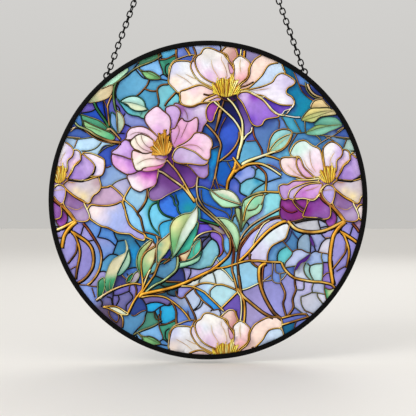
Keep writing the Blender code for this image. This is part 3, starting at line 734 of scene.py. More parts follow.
# The leaves of the middle and the right, from back to front.
LEAVES_RIGHT = [
    Leaf((66, 59), (76, 60), 5, "e0c48c e4cc98 dcc088", edge="sand",
        shape=((64.5, 58), (66, 62), (69, 63.3), (71.7, 63.3), (74, 60.7), (76.4, 58), (70, 57.7))),
    Leaf((58.7, 51), (79, 56), 5, "dccf80 e4d88c e8d8a0", other="b0c070 c8cc8c e0d0a0", rib=True, bow=1.5,
        edge="olive", line=0.5,
        shape=((58.5, 50.6), (61, 54.5), (64.5, 57.6), (70, 58), (76, 58), (79.3, 56), (81.3, 54), (75, 53),
        (70, 52), (66.3, 49), (61, 49.6)),
        creases=(((60, 50), (68, 52.4), (73, 54.3), (79, 56)),)),
    Leaf((67.4, 47.7), (83.3, 47.5), 5, "5ca494 70b49c 7cb89c", bow=1, edge="pine", line=0.45,
        shape=((66.5, 47), (70, 50.6), (74, 52), (79.6, 51.7), (82.5, 49.6), (84, 47), (79, 46.4),
        (72, 47))),
    Leaf((61.6, 42.3), (84, 47), 6, "a4c470 a4c880 90c094", other="74b89c 84c4ac 7cbca4", rib=True, bow=1.2,
        edge="olive", line=0.45,
        shape=((61, 41.7), (64.5, 44.7), (69, 47), (75.3, 47), (84, 47), (80, 44.6), (76, 43), (72.4, 41.3),
        (67, 40.6))),
    Leaf((38.5, 31), (52, 43), 10, "8ccccc 94d0d0 98d0d8", edge="tan", line=0.75,
        shape=((37.6, 30), (38, 34), (39, 38.6), (41.5, 42.5), (45, 44.3), (49, 44.6), (52.5, 43), (52, 39),
        (50, 35), (46.5, 31.6), (42, 30))),
    Leaf((38.7, 30.7), (51.3, 41), 6, "9cd4b4 a4dcc0 acdcd0", other="9cd4b8 a4dccc a4d4d8", rib=True,
        edge="gilt", line=0.55,
        shape=((38.5, 30.6), (41, 35), (45, 38.6), (51.6, 41.4), (50.6, 37.5), (47.7, 33.4), (43, 31))),
    Leaf((20.7, -3), (1, 6), 9.5, "a4dcb8 b0e0bc bce4c4", other="e4f0d4 eef2dc f0f4e0", bow=-1.6,
        edge="sage", line=0.5,
        shape=((1, 6), (4.5, 6.4), (8.7, 7), (12.3, 6.5), (15.5, 5), (18, 2.6), (19.6, -0.5), (21, -3),
        (17.4, -4), (13, -4.5), (8.7, -4), (5, -1), (2.4, 2))),
    vine("sand", 0.6, 0.9, (2, 6), (7.4, 2), (13.3, -0.4), (20.4, -2.6)),
    Leaf((-6.4, -1), (-5, -11.6), 1.6, "6ab0a8 4f989c 4a8890", edge="pine", line=0.4,
        shape=((-6.6, -1), (-4.7, -8), (-5, -12), (-6, -11), (-6.5, -6))),
    Leaf((20.6, -19), (34, 3.5), 9, "84bc8c a9dcb4 b4e4c0", bow=1, edge="olive", line=0.5,
        tints=((23, -9, 2.4, "b4c888"), (30, -1, 3, "8cdcb4"), (22.6, -12.8, 1.1, "a06a28")),
        shape=((20.3, -20), (21, -14), (21, -8.4), (21.3, -2.6), (23.6, 1), (31, 4), (35.3, 3.5),
        (34.6, 0.5), (34, -4), (32, -7.7), (25, -12)),
        creases=(((22.3, -0.3), (23, -5.5), (21.7, -11), (20.6, -18.7)),)),
    vine("gilt", 0.8, 0.7, (22, -13), (24, -4.6), (27.7, 1), (31, 3), (34.5, 3.4)),
    vine("olive", 0.7, 0.5, (24.6, -6.4), (27.5, -6), (30, -5), (32, -2.4)),
    vine("sand", 0.7, 0.5, (35, 3.4), (34.4, 0.4), (33, -3)),
    Leaf((20, -20), (18.5, -4.5), 2.6, "94b878 a8c890 a8c890", edge="olive",
        shape=((17, -5), (20, -5.5), (20.3, -12), (20.3, -19.4), (19, -13.5), (17.4, -9.5))),
    Leaf((63.6, -21.5), (66.6, -29), 2.4, "5a2a88 5a2a8c 6a3a98", edge="black", line=0.4,
        shape=((63.6, -21.4), (65.5, -24.3), (67, -29), (65, -28), (64, -26))),
    Leaf((64.4, -33.6), (54, -44), 3, "4a1a88 521f8c 4a1a88", edge="olive", line=0.4,
        shape=((64.6, -33.4), (60, -36.3), (56.3, -39), (54, -44), (56, -43.6), (58.6, -40), (61, -39),
        (63, -37))),
    Leaf((73.4, -57), (79, -56), 5, "3f9f6a c4dca4 f4f4cc", edge="bronze", line=0.5,
        shape=((73, -55), (76, -56), (80.4, -55), (79, -59), (76.4, -62), (74.6, -63), (73.6, -60))),
    Leaf((5.5, -11.3), (17.6, -32), 9, "b4dcb0 b4dcb4 94cc9c", bow=2, edge="sage",
        shape=((5, -11), (8.3, -11), (11.5, -11.6), (14.7, -13.3), (17.3, -16), (19, -19.6), (19.6, -23.5),
        (19, -27.5), (17.5, -32.3), (16.3, -27.6), (12.5, -19), (7, -13.4))),
]

# The lines between ground cells, left of the middle, from the top down.
GROUND_LEFT = [
    *fine("bronze", ((-20.3, 97), (-20.5, 91), (-20, 88.3)), ((-31, 88), (-27, 88.3), (-20.5, 91)),
        ((-13, 97), (-12, 93.5), (-10.5, 91)), ((-9.5, 97), (-8, 91)), ((-31, 95), (-31, 88), (-28.6, 81),
        (-28.6, 79)), ((-39.5, 94), (-40, 91), (-41.5, 88.4), (-44.5, 85.4)), ((-29.5, 97), (-30, 93),
        (-30.5, 91.5), (-33, 92), (-34, 96)), ((-78, 44.5), (-74, 41), (-68, 37.5), (-60, 35.5)),
        ((-82, 38.3), (-84, 33)), ((-61, 21.5), (-64, 20.5), (-66, 22)), ((-53, -3), (-54.5, -0.5),
        (-56, -1.6), (-61, -3), (-67, -3.6), (-71, -3.3)), ((-65.5, 63), (-63, 57)), ((-92.5, -23.5),
        (-95.5, -23.6)), ((-81.4, -41), (-84, -42), (-88.4, -44.6)), ((-85, -52), (-80.5, -53),
        (-76, -53.3), (-73, -54), (-69.5, -54.3)), ((-73, -55), (-71, -61)), ((-62.5, -69.3), (-62, -72),
        (-60.5, -74.3), (-58.5, -76), (-57, -76.5)), ((-57.5, -71), (-56, -73), (-56.6, -75.5), (-58, -77)),
        ((-30.5, -78.3), (-25, -77.4)), ((-48.3, -72), (-46, -72.5), (-42, -70), (-39, -69)), ((-33, -59),
        (-27, -57.6)), ((-49, -53.3), (-49.7, -56)), ((-54, -47), (-52, -49), (-50.6, -50)), ((-21, -51.4),
        (-16, -51.3))),
    *fine("black", ((-31, 77.5), (-28.5, 79), (-26.5, 78), (-24.4, 76)), ((-30.3, 76), (-24.6, 75)),
        ((-24.3, 86), (-26.5, 84.5), (-27, 82), (-26.5, 79.5), (-25, 78)), ((-43.6, 84.6), (-43, 82.5),
        (-41, 81)), ((-45.6, 82), (-41, 77), (-37.5, 76)), ((-48, 81), (-51, 79), (-55, 75.3), (-57, 71.5),
        (-58, 67.5), (-57.5, 64)), ((-20.5, 67.3), (-18.6, 66), (-18, 63.5), (-18.5, 61)), ((-58, 60),
        (-56, 58), (-55.4, 55.5)), ((-52.6, 48), (-48.6, 46)), ((-52, 54.5), (-53, 53), (-53.4, 51)),
        ((-56, 42), (-52.5, 42)), ((-70.6, 57.3), (-74, 55.6), (-82, 54.4)), ((-66, 63), (-65.3, 57),
        (-64, 50.4)), ((-88.5, 42), (-86, 44), (-83, 45), (-80, 44.5), (-76.5, 42.5)), ((-78.3, -16.5),
        (-80, -22)), ((-67.3, -17), (-68, -20), (-69.6, -23.4)), ((-69, -23.3), (-65, -24), (-61.5, -25.5),
        (-58.3, -28.5)), ((-75.3, -25.6), (-71.5, -25)), ((-59.3, -20.3), (-58, -23.5), (-57, -25.5),
        (-58, -28.5), (-60, -34)), ((-57, -25.7), (-52.6, -25)), ((-67, -39), (-64.3, -36), (-61.5, -34),
        (-58.3, -34), (-56, -35)), ((-68, -45), (-66, -44.5), (-64, -45)), ((-46, -25), (-42.3, -30)),
        ((-44, -42.4), (-47, -42.3), (-51.4, -43.4)), ((-47, -46), (-49.6, -47.6), (-51, -46)), ((-67, -67),
        (-66.5, -64.3), (-68, -62)), ((-63.6, -60.6), (-61, -61.5), (-60, -66.6)), ((-59.4, -57),
        (-60, -63), (-59.3, -66.6)), ((-49, -56), (-50.5, -57.3), (-56.3, -59.5), (-60, -59.5)),
        ((-56.5, -59.6), (-56, -62.5), (-58, -66.5)), ((-50, -56.6), (-47.3, -61), (-51, -65.5),
        (-51.5, -67.5), (-51.5, -70)), ((-42, -61), (-40, -64), (-38.7, -67), (-38.5, -69.6),
        (-39.5, -72.5), (-40, -75.5), (-41.5, -78), (-44.5, -81), (-47, -84)), ((-39, -65.3), (-36, -64.3),
        (-32, -64), (-28, -65), (-25.5, -66), (-23.4, -64)), ((-38.4, -70), (-34.5, -70), (-31, -67.5),
        (-28, -66), (-24.5, -66), (-22.3, -65)), ((-33.6, -69.3), (-31.3, -74), (-30, -74.6)), ((-30, -67),
        (-30.3, -70), (-29.3, -78)), ((-29.3, -77.4), (-26, -77.5), (-20.6, -74.6)), ((-26, -56.4),
        (-25, -59), (-20, -60), (-19, -55)), ((-33.5, -47.3), (-27.5, -49.6)), ((-38.4, -47), (-36, -50)),
        ((-37.3, -45), (-34.6, -46.6)), ((-31, -52.4), (-27, -54.3), (-22, -53.5)), ((-18.4, -42.4),
        (-15.5, -42), (-9, -43), (-5, -43.3), (-0.5, -42)), ((-16, -42.6), (-15, -46), (-14.4, -50.5)),
        ((-11, -43), (-11, -46), (-13, -50)), ((-43.4, -49), (-44.6, -52.4))),
    *fine("olive", ((-89, 39.4), (-85, 39), (-82, 38.3), (-72, 39.6)), ((-79.5, 31), (-76, 31), (-72, 32),
        (-69, 34), (-67, 36.4)), ((-68.7, 29.6), (-66.5, 33), (-64, 34.5), (-58, 35)), ((-69, 29),
        (-66.5, 31.3), (-63, 33.5), (-59.5, 34.3)), ((-61, 9), (-58, 11.5), (-54.5, 13), (-51, 14)),
        ((-22.3, -12), (-28, -13.5), (-30.5, -15.5), (-31, -18.5), (-29.6, -24.3)), ((-7.4, -12), (-6, -15),
        (-7.6, -22))),
    vine("bronze", 0.9, 0.8, (-37, 75.6), (-38.5, 72), (-43, 67), (-45.4, 65.3)),
    vine("bronze", 0.8, 0.8, (-40, 70), (-36, 68.6), (-32.3, 68.5)),
    vine("bronze", 0.9, 0.9, (-25, 72.7), (-28.5, 72.5), (-31, 71), (-32, 68.6), (-31, 62), (-31.7, 59)),
    vine("bronze", 1.1, 0.9, (-20.3, 67.7), (-25.5, 62), (-27.3, 59)),
    vine("olive", 1.0, 1.1, (-29, 91), (-34, 87.6), (-43, 84), (-48, 81), (-52, 77.7), (-67.5, 67)),
    vine("fir", 1.7, 1.5, (-72, 63), (-70, 57.7), (-64.3, 49.4), (-62, 45)),
    vine("moss", 1.5, 1.3, (-57.5, 73.7), (-59, 70), (-59.3, 65), (-58.4, 58), (-57, 55)),
    vine("tan", 1.0, 1.0, (-60.3, 66), (-62.4, 61), (-63, 58), (-62, 46.5)),
    vine("sand", 0.6, 0.8, (-88, 43), (-85, 45), (-82.6, 46)),
    vine("gilt", 0.9, 0.9, (-67, 8), (-63, 8.3), (-61, 9), (-57, 6), (-54, 3), (-52.6, 1)),
    vine("gilt", 0.9, 0.9, (-48.3, 9), (-50.5, 5.5), (-52.6, 1), (-50.5, -1.5), (-47, -4.5), (-44.5, -8)),
    vine("gilt", 1.3, 0.9, (-52.6, 1.6), (-53.5, -1.5), (-52.6, -4.5), (-50.3, -13), (-48, -16.5),
        (-44, -19.3), (-40, -21.4), (-38.5, -23.5), (-34.6, -25)),
    vine("bronze", 1.3, 1.0, (-38, 7), (-38.3, 3), (-39.5, -1), (-42, -5), (-44.4, -8), (-42.5, -11),
        (-41.5, -15), (-40, -21)),
    vine("fir", 1.0, 1.0, (-31, 1), (-31.4, -3), (-30, -6.6), (-27, -9.4), (-20.6, -11.6)),
    vine("pine", 0.9, 0.9, (-24, 3.4), (-22, 1.5), (-21, -2.6), (-19.5, -3.7), (-19, -6.6), (-17.4, -9)),
    vine("pine", 0.8, 0.8, (-20.7, 3.6), (-20, 1), (-19, -1.4), (-19.5, -3.7)),
    vine("fir", 0.9, 0.7, (-31.6, -1), (-35, -2.6), (-36.6, -5), (-37.3, -9.4), (-35, -16.5),
        (-30.6, -21.4)),
    vine("bronze", 0.9, 0.9, (-40, -20), (-36, -21), (-33, -22), (-29.3, -24.4)),
    vine("sand", 1.2, 1.0, (-32.5, -22.5), (-31.5, -25), (-32.3, -28.5)),
    # The bowed stems at the left edge, which come round again at the right.
    vine("gold", 2.5, 2.2, (-82.5, -13.5), (-86.5, -17), (-89.5, -21), (-91, -25.5), (-92.4, -38),
        (-90.5, -53)),
    vine("gold-bronze", 1.5, 1.2, (-86, -19.3), (-83.5, -22.3), (-82, -26), (-80.7, -30.5), (-80.6, -35),
        (-82.3, -43.5), (-83, -49), (-83.4, -56)),
    vine("bronze", 1.0, 0.9, (-82.3, -27.5), (-82.5, -31), (-84, -34.5), (-91, -43.5)),
    vine("gold-bronze", 2.0, 1.4, (-85.3, -20), (-78.5, -24.3), (-75.3, -27), (-73, -30.5), (-72, -35),
        (-72, -39), (-73, -43), (-75.5, -47), (-78.5, -50), (-82, -52)),
    vine("rust-gilt", 1.4, 1.2, (-78.5, -14.5), (-75.5, -18), (-70.3, -26), (-68, -30.5), (-67, -35),
        (-67.3, -39.5), (-68.5, -44), (-70.6, -48), (-73.5, -51.5), (-76, -53.3)),
    vine("gilt-bronze", 1.0, 0.8, (-55, -71.6), (-53.7, -74), (-53.4, -77), (-54, -81)),
    vine("bronze", 0.9, 0.9, (-46, -53), (-45, -56), (-45.5, -60), (-46, -62.5)),
    vine("bronze", 1.0, 1.0, (-23.4, -63.6), (-22, -65.5), (-20.7, -68), (-20, -71), (-20, -75),
        (-19.4, -78.3)),
]

# The lines between ground cells, from the middle to the right, from the top down.
GROUND_RIGHT = [
    *fine("bronze", ((17.5, 97), (18.5, 92.5), (20.3, 90.6)), ((48.3, 53.3), (53, 59), (54, 62)),
        ((51.5, 84.5), (54, 80), (58, 70), (60.5, 66.5), (63.5, 64), (66.5, 62)), ((56.5, 73), (59, 72),
        (61.5, 71.5), (64, 73)), ((44, 51), (44.7, 48.5), (44.3, 45)), ((56, 42), (51, 33.5), (51, 30)),
        ((4, 14.6), (2.4, 8.3), (1, 6)), ((5, 17), (5, 13.4), (7.4, 6.3)), ((3.3, 10.4), (5, 7)),
        ((6.7, 10), (10.5, 8.3)), ((37, 22.7), (41.4, 21), (46, 18)), ((24, 37), (30.4, 37.4)), ((2, 32),
        (6.5, 34)), ((11.3, 52.4), (8.6, 47), (7, 42.5), (6.4, 38.4)), ((46.5, -25.3), (53, -32.6)),
        ((53, -32.3), (55.5, -31), (58.5, -31), (61.5, -32.5), (64.6, -33.3)), ((54.6, -43.4), (54, -46),
        (54, -49)), ((72, -48), (74, -46), (77, -45)), ((69, -32.5), (77, -34)), ((55.5, -76), (54.5, -78),
        (54, -81)), ((60, -69), (66, -71.3)), ((3, -69), (6, -68.5), (9, -69))),
    *fine("olive", ((8, 25), (12, 24.6), (15.7, 25.4)), ((12, 24), (15, 18.4)), ((53, -32.5), (52, -35),
        (48.5, -39), (48, -42.3)), ((47.6, -42.4), (55.5, -41)), ((71.3, -33), (71, -36), (72, -40),
        (71.7, -48), (71, -51.5)), ((62.3, -39.5), (64, -41), (67, -40), (72, -39.6)), ((64, -41),
        (63.5, -44), (64.3, -47), (66, -50), (67.5, -51.4)), ((61, -39.3), (60, -42), (60.3, -45),
        (62, -48), (65.5, -51)), ((54.6, -56), (58, -56.3), (60, -55.5), (60, -50.6)), ((66, -52),
        (65, -55.5), (65, -57.7), (60, -60), (58.3, -60.5), (58.3, -64), (59.5, -67.5), (62, -70.3)),
        ((65, -58), (68, -58), (73, -59)), ((68.3, -58), (69, -61), (72, -65)), ((73, -53), (73, -57),
        (75, -64)), ((53.4, -66.5), (60.5, -72)), ((2.5, -44.6), (4, -48), (5, -53)), ((-6, -53),
        (-5.5, -50), (-3.5, -48), (-2, -46)), ((-4.3, 6.5), (-4.3, 3), (-3, -1.4), (2, -4), (10.5, -7.4),
        (13, -10), (13.6, -13)), ((14, -4.4), (15, -7), (14, -11)), ((9.6, -24), (9.6, -28), (10.3, -31.5),
        (12, -34)), ((35, 3), (39, 5))),
    *fine("black", ((56, -31), (56, -27), (57, -24), (59.5, -21.5), (63, -20.4)), ((62.6, -20.5), (64, -24),
        (64.3, -28), (64, -33)), ((63, -21), (65.3, -25), (67.5, -32.4)), ((70.3, -20), (72, -22.5),
        (74, -24.4)), ((77.4, -23.5), (74, -24.3), (71.5, -26.5), (70, -29.5), (69, -32.6)), ((64.4, -33.4),
        (67, -32), (69.4, -32.4)), ((71.6, -39), (74, -39), (77, -39)), ((69, -12), (69.4, -14.5),
        (71, -19.6)), ((70, -17.4), (74.4, -16.4), (77, -16.6)), ((-4.3, -61), (-5, -64), (-6.5, -66.5),
        (-9.5, -69.3)), ((-3.3, -64), (-5, -67), (-8.7, -69.3)), ((1.3, -69.6), (3, -68.6)), ((7, -69),
        (8, -71), (7.4, -73)), ((-5.5, -14.6), (0, -15), (2.5, -16.5), (3, -19.4)), ((12.6, -14),
        (15.5, -13)), ((17.4, -9.6), (18.6, -13.5)), ((24, -13.6), (25.5, -15.5), (24.6, -18))),
    *fine("khaki", ((52, 43), (55.4, 42), (61, 42.4), (65.6, 41.6), (69.6, 39), (71, 36.4)), ((69.4, 41),
        (73.6, 40.4)), ((46, 52), (47.5, 50), (49, 47), (52, 42.7)), ((54, 50.6), (58.6, 42)), ((60.6, 50),
        (61, 42.4))),
    *fine("dusk", ((51, -16.5), (52, -20), (50.6, -24), (48, -27)), ((52, -18), (54, -21.5),
        (56.6, -24.5))),
    vine("slate", 0.6, 0.6, (20.4, 10.4), (24, 13), (28.4, 14.3), (29.6, 17.4), (29, 20), (27, 21)),
    vine("slate", 0.7, 0.6, (29.6, 19), (31.3, 20.3)),
    vine("slate", 0.6, 0.6, (28.4, 14.3), (32, 13), (36.4, 11.4), (41.4, 13), (46, 14.3)),
    vine("slate", 0.6, 0.6, (36, 11.3), (29, 6.7), (26.3, 3)),
    vine("slate", 0.6, 0.6, (15, 15), (18, 13), (20, 10), (20, 5), (24.4, 2.4)),
    vine("slate", 0.6, 0.6, (43.4, -38.4), (43.4, -34.6), (45, -31.4), (49, -29)),
    *fine("sand", ((40.3, -39), (40.5, -43), (40, -48.5), (41, -51), (43, -52), (45.5, -52)), ((42, -39.3),
        (42, -43), (42.5, -45), (45, -46), (49, -45)), ((45, -46), (45.6, -52)), ((86, 46), (81.4, 42.3),
        (70.6, 36), (67, 33)), ((73.5, 40.5), (89, 39)), ((73.4, 40), (76.4, 38.6), (79, 37)), ((34, -51),
        (39.6, -47)), ((34, -51), (40.4, -50)), ((49.6, -45.6), (47.4, -48.7), (45.4, -50.5))),
    vine("black", 1.2, 1.4, (54, -14), (60, -12.5), (67, -11.6), (71, -12), (77, -15.6)),
    vine("sand", 1.6, 1.3, (62.3, 73), (64, 69), (67, 66), (72, 64)),
    vine("olive", 0.8, 0.7, (61, 74), (62, 69), (65.6, 65), (69.5, 63.4)),
    vine("rust", 0.9, 0.9, (28, 46), (29, 40), (33.4, 32), (34, 27.4)),
    vine("olive", 0.6, 0.5, (20.4, -3), (22.6, -3.4), (24.4, -2)),
    vine("umber-tan", 0.8, 1.2, (10, 62.7), (8, 56)),
    vine("tan", 2.5, 0.8, (8, 57), (6, 48.6), (4.4, 43)),
    vine("khaki", 1.0, 0.9, (15, -13), (15.4, -11), (17, -9), (19.4, -8)),
    vine("tan", 1.3, 1.3, (-1, 47.5), (3, 43.3), (6.5, 38.7), (8, 34), (7, 29), (4, 13)),
    vine("tan", 1.2, 1.2, (19.5, 43), (19.3, 38.7), (17, 33.7), (13, 29), (7, 24.3)),
    vine("rust-gilt", 1.1, 1.1, (30, 22), (34, 19), (36.4, 15), (36, 5)),
    vine("olive-gilt", 0.9, 1.2, (21.6, -1), (23.4, 1), (32.4, 5), (44.7, 5)),
    vine("fir", 1.5, 1.3, (-5.5, -12), (4.5, -15), (7, -16)),
    Leaf((1, -15), (11, -21.5), 2, "8c808c a89ca4 988c98", edge="umber", line=0.4,
        shape=((0.5, -15), (4, -16), (7.6, -18), (10.4, -20.6), (9.4, -21.4), (6.4, -20), (1, -16.3))),
    vine("pale-rust", 1.0, 0.8, (-10, -27), (-7.5, -23.5), (-4.5, -21.3), (-1, -20), (3, -19.5),
        (6.5, -20.6), (8.7, -23), (9, -25.5), (9, -28.3), (9.5, -31), (8.4, -33.6), (6.4, -35.6)),
    vine("black", 0.6, 0.6, (-4, -33), (-4, -28), (-3, -25.5), (-0.5, -23.3), (1.6, -20)),
    vine("black", 0.6, 0.6, (-9, -26), (-6, -24), (-2.5, -23), (0.5, -23)),
    vine("black", 0.65, 0.7, (1, -21.5), (1.6, -23.4), (5, -26), (6.5, -29), (7, -32), (6.5, -34.5),
        (5, -36)),
    vine("sage", 1.0, 0.9, (6, -35), (4.6, -36.6), (2, -41), (-1, -42)),
    vine("black", 0.6, 0.5, (-3.6, -31), (0.6, -25.6), (2.6, -24.3)),
    vine("pale", 0.9, 0.7, (5.6, -37), (7, -39)),
    vine("rust", 0.8, 0.8, (17, -28.5), (16.6, -31), (16, -39)),
    vine("pale", 1.0, 0.7, (8.3, -43), (11, -45), (16, -51)),
    vine("gilt", 0.9, 0.9, (-9.5, -54.3), (-6.5, -53), (-3, -52), (1, -52), (5.5, -53), (9, -53),
        (15.5, -55.3), (18.4, -57)),
    vine("sand", 0.8, 0.7, (5.3, -53), (3, -54.5), (1, -57), (1, -60.3)),
    vine("bronze", 0.9, 0.8, (-9, -54.6), (-7.5, -58), (-5.3, -60.5), (-3.5, -63), (1.5, -67), (3, -69)),
    vine("bronze", 0.7, 0.7, (-14.6, -60.3), (-17, -61.5), (-19.6, -60), (-20.3, -57)),
    vine("bronze", 0.9, 1.0, (-9.3, -55), (-12.5, -57.6), (-14.6, -60), (-13, -63), (-8.6, -72),
        (-7.6, -76)),
    vine("gilt", 1.0, 1.1, (8, -68), (18.6, -57.6)),
    vine("pale", 0.9, 0.9, (21.3, -56.3), (25, -55.3), (32, -52)),
    vine("bronze", 1.1, 1.0, (45.4, -51.6), (48, -57.5), (48, -61), (47, -64.5), (47.6, -68), (49, -73)),
    vine("bronze", 1.0, 1.1, (54.3, -49), (54.5, -53), (55, -56.3), (53, -62), (53.3, -67.5), (49.6, -73)),
    vine("gilt-bronze", 1.2, 1.0, (46, -74), (54, -72), (58, -71.5), (61.3, -71.5), (62.5, -73)),
    vine("gilt-bronze", 1.2, 1.0, (46, -78.4), (63.5, -73)),
]

# The three pale petals without a flower that sweep between the stems.
SWOOSHES = [
    Blade((-40, -24), (-75, -4), 15, "aca4e4 a4b4ec ecdce4", bow=2, line=0.9,
        tints=((-70.5, -7.5, 5.5, "fbeae8"), (-64, -11, 4, "e4d8ec"), (-58, -7, 5, "b0bcec"),
        (-57, -14, 5, "a4b4ec"), (-46, -17, 5, "aca8e4"), (-66, -1.8, 4, "e8ccd0"),
        (-60, -3.6, 3, "d8c8d8")),
        shape=((-76, -7), (-74.6, -11), (-71, -14), (-67, -16.3), (-63, -17.3), (-57, -20.3), (-52, -21),
        (-49, -21.3), (-46, -23.5), (-43, -24.7), (-40, -25), (-40, -21.6), (-44, -19.4), (-48, -16.6),
        (-50.4, -13), (-52.6, -4.5), (-54.6, -1), (-58, -2.4), (-63, -3.4), (-69, -3.3), (-73.6, -3))),
    Blade((20, -37), (34, -16.3), 8, "b4b0f0 b8b8f6 c4c4f8", edge="rust",
        shape=((19.6, -38), (19.6, -34), (20.5, -30), (25.5, -22.5), (29, -19), (33, -16.4), (38, -13),
        (44, -11.4), (50, -13), (44, -15), (38.5, -18.6), (33, -24), (24, -34))),
    Blade((30, -37), (50.5, -14.6), 13, "d0c8ea d8e0f0 e8eef4", edge="bronze-gilt", line=0.8,
        tints=((40, -23, 5, "dcecf2"), (33, -31, 4, "d4d4ee")),
        shape=((26.4, -38), (26, -33), (28.4, -29.5), (38.7, -19), (46, -14.4), (50.4, -14), (51, -16),
        (49.3, -22), (47.6, -24.6), (41, -28), (38.6, -30.6), (37.3, -34), (36.5, -38.3), (31.5, -38.3))),
]

# The strong stems that run over the leaves and the ground, thinnest first.
STEMS = [
    vine("pale", 0.9, 0.7, (39, -12.4), (35.5, -14.5), (33, -17.5), (29.4, -24.5), (28.4, -28)),
    vine("pale", 0.45, 0.4, (47, -13), (42, -14), (37.3, -17), (33.5, -20.6), (30.6, -24.3)),
    vine("bronze", 1.0, 1.1, (26.6, -33.6), (26, -36), (27, -38.5), (28.7, -40.4), (31, -42)),
    vine("tan-gold", 0.6, 1.2, (-33, -29), (-40, -33.5), (-42, -40), (-41, -53), (-42, -58)),
    vine("bronze-gold", 0.9, 1.2, (-23.6, -37), (-28.7, -37.4), (-31, -40), (-33.5, -46.5), (-35.5, -49.5),
        (-42.5, -59.5)),
    vine("pale-gold", 1.0, 1.2, (-36, -43.5), (-38, -47), (-42.3, -59)),
    vine("sage", 1.8, 1.2, (-19, -35.5), (-19, -39), (-19.6, -42.5), (-21.6, -45.5), (-28, -50.5),
        (-32, -52.5), (-36, -55), (-39.6, -58.3)),
    vine("bronze", 1.0, 0.8, (-23.4, -37), (-28, -40)),
    vine("bronze", 1.1, 0.9, (-26.5, -51), (-17, -51.4)),
    vine("sand-gilt", 1.5, 1.0, (-70.5, -63), (-63, -58), (-55, -54.3), (-47, -52.4), (-42, -53)),
    vine("gold", 1.5, 1.3, (-50.3, -71), (-46.3, -63), (-41, -56)),
    vine("gilt", 1.0, 1.1, (-42, -61), (-35, -60), (-27, -61), (-20, -65.5), (-14.3, -71), (-11, -76)),
    vine("gilt", 1.1, 1.1, (-17, -54), (-13, -54), (-9, -54.6), (-3, -57.4), (0, -60), (10, -69.7)),
    # The long stem that curls down from the middle and joins the trunk.
    vine("sand-khaki", 1.2, 1.3, (-7.4, 1.5), (-7, -2), (-4.5, -5), (8.5, -16.4), (13.6, -24)),
    vine("rust-gilt", 1.0, 1.3, (16, -30), (15, -43), (16, -47.5), (18.6, -57.5)),
    vine("sand-khaki", 1.3, 1.2, (-6.5, 14.5), (-7, 10.4), (-7, 6.3), (-6, 1), (-3, -4), (0, -6.7),
        (8, -14)),
    vine("khaki-rust", 1.2, 1.0, (8, -14), (11.3, -18), (14, -22), (15.3, -26), (16, -30)),
    vine("bronze-gold", 1.3, 1.7, (13.6, -24), (14, -27.5), (14, -31), (13, -34), (11, -36.5), (5.5, -41.3),
        (2, -43.6)),
    vine("gold", 1.9, 2.2, (5, -42.3), (0, -45), (-20, -54), (-37, -58), (-41, -59), (-43.4, -61)),
    vine("bronze-umber", 1.3, 1.3, (45, -10), (41, -11), (37, -12.6), (29, -18), (22, -25), (20, -29),
        (19, -33), (18.4, -38), (19, -47)),
    vine("bronze-gold", 1.6, 1.4, (19, -47), (21, -59.5), (22.6, -64), (23, -70), (22.5, -77)),
    vine("pale", 1.0, 1.0, (18, -55.6), (19, -58.5), (20.4, -60.6), (21, -68), (20.3, -76)),
    vine("gilt-bronze", 1.6, 1.6, (18.6, -55.4), (22, -60.3), (25, -63), (33, -69.5), (37, -72),
        (41, -73.6), (44, -73.5)),
    vine("sand", 1.1, 1.3, (20, -25), (23, -20), (29.5, -14), (46, -4.7)),
    vine("gold", 1.5, 2.1, (19.3, -38.4), (25, -33), (31.5, -25.5), (38.5, -18.6), (46, -14), (50.4, -13)),
    vine("gold-gilt", 1.1, 1.3, (2.5, -43), (11, -42), (25, -38), (38, -38.7), (46, -39)),
    vine("gilt", 1.5, 1.4, (46, -39), (47.5, -42.5), (49.5, -45), (52.5, -47.7), (56, -49.3), (65, -51),
        (70, -51.3), (74, -52), (77.5, -53), (80, -55.4)),
    vine("rust-bronze", 1.0, 0.9, (36, -40), (34.5, -42.5), (34, -50), (34, -54.5)),
    vine("gold-bronze", 2.1, 1.7, (36.5, -39.6), (33.5, -41), (32, -44), (32.5, -52), (35.3, -60.5),
        (40, -69), (43, -72.3), (46, -74.6)),
    vine("gilt", 2.1, 2.0, (50, -13), (52.3, -15.7), (55, -18), (58.5, -19.3), (63, -20), (68, -20),
        (73, -19), (78, -17), (85.6, -13)),
    # Towards the right flower, and up to the top one.
    vine("pale", 2.4, 1.2, (21, 22), (25.4, 24.6), (37.6, 29), (42.5, 30.7)),
    vine("gilt", 1.1, 1.1, (35.6, 28), (40.6, 27), (45.6, 25)),
    vine("gold-pale", 1.7, 1.3, (20, 19.6), (24.6, 22.3), (30, 23), (34.5, 22.3), (40, 19.6), (46, 15.5)),
    vine("umber", 2.2, 2.2, (18, 22.4), (18.4, 20), (17.6, 18.6)),
    vine("gold", 1.2, 2.0, (15.5, 27), (20.3, 20.4)),
    vine("gold", 1.2, 2.6, (17, 24.4), (17, 21.5), (16, 18.6)),
    vine("gold", 1.8, 2.4, (20.6, 20.7), (16.4, 17.4)),
    vine("gold", 2.8, 1.5, (17, 19.4), (13, 13), (12, 9.5), (11.7, 6.3)),
    vine("sand-tan", 1.6, 1.1, (-63.6, 44), (-61.3, 44.6), (-59, 42.5), (-55, 38)),
    vine("sage-bronze", 1.2, 1.9, (-84.6, 50), (-81.5, 46.5), (-78, 45), (-74, 43), (-70, 40.3), (-62, 37),
        (-54.6, 36)),
    vine("sage", 0.8, 0.8, (-7.4, 8.4), (-3.7, 8.3), (-1, 7.4), (1.4, 6)),
]


